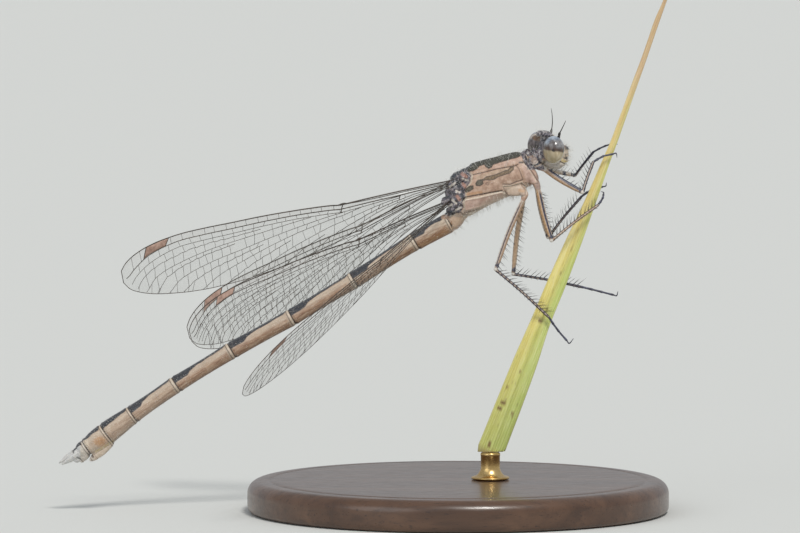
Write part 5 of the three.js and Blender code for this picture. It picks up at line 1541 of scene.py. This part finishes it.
    # stigma: a small thick coloured cell
    S = Build()
    n1, n2 = 18, 7
    sx = np.linspace(stig - 0.034, stig + 0.034, n1)
    sw = np.linspace(0.0, 1.0, n2)
    SX, SW = np.meshgrid(sx, sw, indexing="ij")
    SX = SX + (SW - 0.5) * 0.014
    wr = fn["R"](SX)
    Wst = wr * (0.06 + 0.88 * SW)
    puff = 0.03 * np.sin(SW * math.pi) ** 0.5 * np.sin(np.linspace(0, math.pi, n1))[:, None] ** 0.4
    topv, botv = W.place(SX, Wst, 0.012 + puff), W.place(SX, Wst, -0.012 - puff)
    v = np.concatenate([topv.reshape(-1, 3), botv.reshape(-1, 3)])
    N = n1 * n2
    f = []
    for i in range(n1 - 1):
        for j in range(n2 - 1):
            q = (i * n2 + j, (i + 1) * n2 + j, (i + 1) * n2 + j + 1, i * n2 + j + 1)
            f += [q, tuple(N + k for k in q[::-1])]
    edge = [i * n2 for i in range(n1)] + [(n1 - 1) * n2 + j for j in range(1, n2)] + [i * n2 + n2 - 1 for i in range(n1 - 2, -1, -1)] + [j for j in range(n2 - 2, 0, -1)]
    for a, b in zip(edge, edge[1:] + edge[:1]):
        f.append((b, a, N + a, N + b))
    S.add(v, f)
    st = S.object(name + "_stigma")
    B2 = Build()
    B.__init__()
    for q, (xa, wa) in enumerate(((np.full(6, stig - 0.034), np.linspace(0, 1, 6)), (np.full(6, stig + 0.034), np.linspace(0, 1, 6)))):
        xa = xa + (wa - 0.5) * 0.014
        vein(xa, fn["R"](xa) * wa, 0.028, 5)
    extra = B.object(name + "_stigma_rim")
    return mem, veins, st, extra


def membrane_material():
    m = Mat("wing_membrane", Roughness=0.22)
    tipd, lead, root = m.attr("wing_a")
    cell = m.noise(0.9, 3, 0.6)
    c = m.ramp(cell, [(0.3, (0.30, 0.31, 0.29)), (0.7, (0.46, 0.46, 0.42))])
    c = m.mix(m.math("MULTIPLY", lead, 0.6), c, (0.30, 0.23, 0.19))
    m.b.inputs["Alpha"].default_value = 0.10
    m.b.inputs["Specular IOR Level"].default_value = 0.7
    n = m.bump(m.noise(0.35, 2, 0.5), 0.02, 0.5)
    m.m.surface_render_method = "BLENDED"
    return m.out(c, None, n)


MEM = membrane_material()
VEIN = flat_mat("wing_vein", [(0.3, (0.030, 0.022, 0.017)), (0.7, (0.085, 0.060, 0.044))], 0.6, 0.42)


def stigma_material():
    m = Mat("wing_stigma", Roughness=0.45)
    c = m.ramp(m.noise(0.22, 3, 0.6), [(0.3, (0.27, 0.16, 0.12)), (0.7, (0.50, 0.34, 0.27))])
    return m.out(c, None, m.bump(m.noise(0.12, 2), 0.012, 0.5))


STIG = stigma_material()
for nm, spec in WINGS.items():
    mem, veins, st, rim = wing_pieces(nm, *spec)
    for o, mt in ((mem, MEM), (veins, VEIN), (st, STIG), (rim, VEIN)):
        o.data.materials.append(mt)
        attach(o, "root")
    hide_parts(nm)

# ------------------------------------------------------------------ the blade of grass: a folded leaf with fine ribs
BLADE = curve_fn([
    # row, left edge, right edge, in layout units
    [-6, 664.6, 668.6], [2, 662, 666], [22, 653.4, 659], [42, 646.6, 652.2], [62, 639.6, 645.4], [82, 632, 638.4], [102, 624.8, 631.4], [122, 617.4, 624.4],
    [142, 610, 617.4], [162, 601.4, 610], [182, 592.8, 603.2], [202, 584, 596.2], [242, 565, 582.2], [282, 547, 567.4], [322, 530, 551.4], [362, 512.4, 538.6],
    [402, 496, 524.2], [440, 480.6, 509.8], [456, 474.0, 504.0],
])
CUT_V = 452.0


def blade_object():
    rows = np.concatenate([np.arange(-6, CUT_V - 1, 3.0), [CUT_V - 0.4, CUT_V]])
    m = 96
    ang = np.linspace(0, 2 * math.pi, m, endpoint=False)
    down = unit(at(489.0, 456) - at(667.2, -6))
    wide = unit(np.cross(down, [0, 1, 0]))
    if wide[0] < 0:
        wide = -wide
    rings, across, along = [], [], []
    for v in rows:
        l, r = BLADE(np.array([v]))[0]
        cut = v > CUT_V - 0.2
        c = at((l + r) / 2, v)
        half = (r - l) / 2 / GRID * 0.93
        th = np.interp(v, [0, 200, 456], [0.12, 0.17, 0.21])
        x = np.cos(ang)
        y = np.sign(np.sin(ang)) * np.abs(np.sin(ang)) ** 0.75 * th
        fold = 0.16 * (half / 0.9) * (np.abs(x) - 0.5)
        rib = 0.014 * np.cos(x * 3.14159 * 11) * (np.abs(x) < 0.93) * np.sign(np.sin(ang)) * min(1, half / 0.5)
        mid = 0.05 * np.exp(-((x / 0.09) ** 2)) * np.sign(np.sin(ang)) * (np.sin(ang) < 0)
        y = y + fold * 0.5 + rib + mid * min(1, half / 0.5)
        if v >= CUT_V - 0.5:
            # the cut end is level
            pt = c + (x * half)[:, None] * wide + y[:, None] * np.array([0, 1, 0])
            pt[:, 2] = at(0, CUT_V)[2] + (0.02 if v < CUT_V else 0.0)
        else:
            pt = c + (x * half)[:, None] * wide + y[:, None] * np.array([0, 1, 0])
            pt[:, 2] = np.maximum(pt[:, 2], at(0, CUT_V)[2] + 0.03)
        rings.append(pt)
        across.append(x)
        along.append(np.full(m, v))
    b = Build()
    b.rings(np.array(rings))
    o = b.object("grass_blade")
    ac = np.concatenate([np.array(across).ravel(), [0, 0]])
    al = np.concatenate([np.array(along).ravel(), [-6, CUT_V]])
    paint(o, "grass_a", ac * 0.5 + 0.5, al / 460.0, step(CUT_V - 3, CUT_V, al))
    spots = np.zeros(len(ac))
    p = verts_of(o)
    u, v = side_uv(p)
    for su, sv, ru, rv in ((503.5, 402.5, 3.4, 2.6), (500.0, 408, 2.6, 1.8), (512.5, 414.5, 1.6, 3.0), (489.5, 444.5, 2.2, 2.6), (507, 387.6, 1.4, 1.3), (572, 248.6, 1.5, 1.3), (561, 272, 1.3, 1.6), (541, 320, 2.6, 1.8), (547.5, 309, 1.2, 1.4), (520, 372, 1.0, 1.0), (526, 352, 0.9, 1.3)):
        spots = np.maximum(spots, step(1.25, 0.6, np.hypot((u - su) / ru, (v - sv) / rv) + 0.25 * wave(p, 0.12, su)) * (0.95 if ru > 2 else 0.7))
    for su, sv in rng.uniform((0, 0), (1, 1), (46, 2)):
        vv = 230 + 225 * sv
        l, r = BLADE(np.array([vv]))[0]
        uu = l + (r - l) * su
        spots = np.maximum(spots, step(1.2, 0.4, np.hypot((u - uu) / 0.55, (v - vv) / 0.7)) * 0.45)
    n = normals_of(o)
    paint(o, "grass_b", spots, n[:, 1] * 0.5 + 0.5, 0 * ac)
    return o


def grass_material():
    m = Mat("grass_leaf", Roughness=0.48)
    across, along, cut = m.attr("grass_a")
    spot, facing, _ = m.attr("grass_b")
    # fibres run along the leaf: noise stretched along it
    lean = math.atan2(178.2, 462.0)
    n = m.node("ShaderNodeMapping")
    n.inputs["Rotation"].default_value = (0, -lean, 0)
    m.link(m.coords(), n.inputs["Vector"])
    st = m.node("ShaderNodeMapping")
    st.inputs["Scale"].default_value = (1, 1, 0.035)
    m.link(n.outputs[0], st.inputs["Vector"])
    fib = m.noise(0.075, 4, 0.65, st.outputs[0])
    fib2 = m.noise(0.22, 3, 0.6, st.outputs[0])
    patch = m.noise(2.4, 3, 0.6)
    left = m.ramp(fib2, [(0.3, (0.58, 0.46, 0.115)), (0.5, (0.73, 0.62, 0.18)), (0.72, (0.84, 0.76, 0.31))])
    right = m.ramp(fib2, [(0.3, (0.44, 0.53, 0.13)), (0.5, (0.57, 0.65, 0.195)), (0.72, (0.71, 0.76, 0.33))])
    c = m.mix(m.span(m.math("ADD", across, m.math("MULTIPLY", m.math("SUBTRACT", patch, 0.5), 0.7)), 0.28, 0.80), left, right)
    dry = m.ramp(fib2, [(0.3, (0.48, 0.29, 0.15)), (0.6, (0.64, 0.45, 0.26)), (0.8, (0.76, 0.62, 0.40))])
    # yellow higher up, greener towards the cut, dry and tan at the tip
    gold = m.ramp(fib2, [(0.3, (0.60, 0.42, 0.13)), (0.5, (0.78, 0.62, 0.22)), (0.72, (0.84, 0.74, 0.38))])
    c = m.mix(m.math("MULTIPLY", m.span(along, 0.62, 0.42), m.span(across, 0.9, 0.4, 0.35, 0.95)), c, gold)
    green = m.ramp(fib2, [(0.3, (0.33, 0.42, 0.09)), (0.7, (0.50, 0.58, 0.17))])
    c = m.mix(m.span(along, 0.70, 0.95, 0.0, 0.65), c, green)
    c = m.mix(m.span(m.math("ADD", along, m.math("MULTIPLY", m.math("SUBTRACT", patch, 0.5), 0.2)), 0.34, 0.14), c, dry)
    ribs = m.noise(0.11, 2, 0.5, m.node_vec(across, along))
    c = m.mix(m.span(ribs, 0.56, 0.70, 0.0, 0.40), c, (0.80, 0.77, 0.46))
    c = m.mix(m.span(ribs, 0.44, 0.30, 0.0, 0.30), c, (0.40, 0.35, 0.10))
    c = m.mix(m.span(fib, 0.55, 0.75, 0.0, 0.45), c, (0.78, 0.74, 0.42))
    c = m.mix(m.span(fib, 0.45, 0.28, 0.0, 0.34), c, (0.38, 0.31, 0.09))
    edge = m.math("ABSOLUTE", m.math("SUBTRACT", across, 0.5))
    c = m.mix(m.span(edge, 0.44, 0.5, 0.0, 0.55), c, (0.74, 0.68, 0.36))
    c = m.mix(m.math("MULTIPLY", spot, 0.92), c, m.ramp(fib2, [(0.3, (0.11, 0.045, 0.018)), (0.7, (0.22, 0.10, 0.045))]))
    c = m.mix(cut, c, (0.30, 0.24, 0.10))
    nrm = m.bump(fib, 0.02, 0.7)
    m.b.inputs["Subsurface Weight"].default_value = 0.08
    m.b.inputs["Subsurface Radius"].default_value = (0.0006, 0.0005, 0.0002)
    return m.out(c, None, nrm)


blade = blade_object()
blade.data.materials.append(grass_material())
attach(blade, "root")
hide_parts("perch_grass_blade")


# ------------------------------------------------------------------ stand: turned walnut disc and a short brass ferrule
def lathe(name, profile, x, z, m=160):
    b = Build()
    ang = np.linspace(0, 2 * math.pi, m, endpoint=False)
    rings = np.array([np.stack([x + r * np.cos(ang), r * np.sin(ang), np.full(m, z + h)], -1) for r, h in profile])
    b.rings(rings)
    return b.object(name)


BASE_X = at(458.2, 0)[0]
ROD_X = at(490.5, 0)[0]
prof = [(0.02, 0.0), (6, 0.0), (12.6, 0.0), (12.86, 0.02), (13.04, 0.08), (13.14, 0.18), (13.19, 0.3)]
prof += [(13.2, 0.5), (13.2, 1.2)]
prof += [(13.2 - 0.8 * (1 - math.cos(t)), 1.2 + 0.78 * math.sin(t)) for t in np.linspace(0, math.pi / 2, 14)[1:]]
prof += [(12.2, 1.985), (11.9, 1.985), (11.82, 1.95), (11.74, 1.95), (11.66, 1.99), (11.2, 2.0), (6.0, 2.0), (0.02, 2.0)]
base = lathe("stand_disc", prof, BASE_X, 0)


def walnut():
    m = Mat("walnut", Roughness=0.30)
    st = m.mapped((0.07, 1, 0.8), (0, 0, 0.05), (0.003, 0.001, 0.002))
    broad = m.noise(1.5, 4, 0.55, st, 0.5)
    grain = m.noise(0.42, 4, 0.62, st, 0.2)
    pore = m.noise(0.13, 3, 0.6, m.mapped((0.12, 1, 1), (0, 0, 0.05), (0.001, 0.004, 0.002)))
    c = m.ramp(broad, [(0.32, (0.060, 0.029, 0.016)), (0.48, (0.084, 0.041, 0.022)), (0.60, (0.104, 0.052, 0.028)), (0.72, (0.128, 0.066, 0.036))])
    c = m.mix(m.span(grain, 0.50, 0.66, 0, 0.55), c, (0.048, 0.023, 0.013))
    c = m.mix(m.span(pore, 0.60, 0.70, 0, 0.75), c, (0.022, 0.011, 0.007))
    m.b.inputs["Coat Weight"].default_value = 0.35
    m.b.inputs["Coat Roughness"].default_value = 0.18
    return m.out(c, m.span(pore, 0.3, 0.7, 0.26, 0.42), m.bump(pore, 0.02, 0.35))


base.data.materials.append(walnut())
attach(base, "root")
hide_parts("stand_base")
top = at(0, CUT_V)[2] - 0.03 - 2.03
prof = [(0.02, 0.0), (1.1, 0.0), (1.18, 0.04), (1.2, 0.10), (1.18, 0.15), (1.10, 0.18), (0.96, 0.21), (0.86, 0.26), (0.76, 0.36), (0.68, 0.48), (0.62, 0.62), (0.6, 0.72), (0.6, top - 0.22), (0.62, top - 0.20), (0.62, top - 0.10), (0.6, top - 0.05), (0.55, top - 0.01), (0.5, top), (0.02, top)]
rod = lathe("stand_ferrule", prof, ROD_X, 2.03, 96)


def brass():
    m = Mat("satin_brass", Metallic=1.0)
    turn = m.noise(0.05, 2, 0.6, m.mapped((0.1, 0.1, 1)))
    c = m.ramp(m.noise(0.7, 3, 0.6), [(0.3, (0.55, 0.36, 0.13)), (0.7, (0.72, 0.52, 0.24))])
    return m.out(c, m.span(turn, 0.3, 0.7, 0.22, 0.38), m.bump(turn, 0.006, 0.4))


rod.data.materials.append(brass())
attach(rod, "root")
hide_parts("stand_rod")

# ------------------------------------------------------------------ floor, light and camera
floor_mesh = bpy.data.meshes.new("floor")
floor_mesh.from_pydata([(-9, -9, -0.00002), (9, -9, -0.00002), (9, 9, -0.00002), (-9, 9, -0.00002)], [], [(0, 1, 2, 3)])
floor = bpy.data.objects.new("floor", floor_mesh)
bpy.context.scene.collection.objects.link(floor)
fm = Mat("pale_floor", Roughness=0.9)
fm.b.inputs["Base Color"].default_value = (0.66, 0.67, 0.65, 1)
fm.b.inputs["Specular IOR Level"].default_value = 0.1
floor_mesh.materials.append(fm.m)

BACK = (0.648, 0.666, 0.648)
world = bpy.data.worlds.new("studio")
world.use_nodes = True
world.node_tree.nodes["Background"].inputs["Color"].default_value = (0.93, 0.965, 1.0, 1)
world.node_tree.nodes["Background"].inputs["Strength"].default_value = 0.52
bpy.context.scene.world = world
# the backdrop that the camera sees is as bright as the floor, so that no horizon shows
wn = world.node_tree
bg = wn.nodes["Background"]
seen_bg = wn.nodes.new("ShaderNodeBackground")
seen_bg.inputs["Color"].default_value = (BACK[0], BACK[1], BACK[2], 1)
seen_bg.inputs["Strength"].default_value = 1.0
path = wn.nodes.new("ShaderNodeLightPath")
both = wn.nodes.new("ShaderNodeMixShader")
wn.links.new(path.outputs["Is Camera Ray"], both.inputs[0])
wn.links.new(bg.outputs[0], both.inputs[1])
wn.links.new(seen_bg.outputs[0], both.inputs[2])
wn.links.new(both.outputs[0], wn.nodes["World Output"].inputs["Surface"])
bpy.context.scene.view_settings.view_transform = "Standard"
bpy.context.scene.view_settings.look = "None"


def sun(name, direction, strength, angle, color=(1, 1, 1)):
    l = bpy.data.lights.new(name, "SUN")
    l.energy, l.angle, l.color = strength, math.radians(angle), color
    o = bpy.data.objects.new(name, l)
    o.rotation_euler = Vector(direction).to_track_quat("-Z", "Y").to_euler()
    bpy.context.scene.collection.objects.link(o)


sun("key", (-0.25, 0.75, -1.0), 1.8, 14, (1.0, 0.97, 0.93))
sun("fill", (0.7, 0.7, -0.42), 0.5, 40, (0.93, 0.97, 1.0))

cam = bpy.data.cameras.new("camera")
cam.sensor_width = 36.0
cam.lens = 36.0 * CAM_D / 50.0
cam.clip_start, cam.clip_end = 0.01, 100.0
co = bpy.data.objects.new("camera", cam)
co.location = Vector((TARGET - LOOK * CAM_D) * MM)
co.rotation_euler = (math.radians(86.0), 0, 0)
bpy.context.scene.collection.objects.link(co)
bpy.context.scene.camera = co
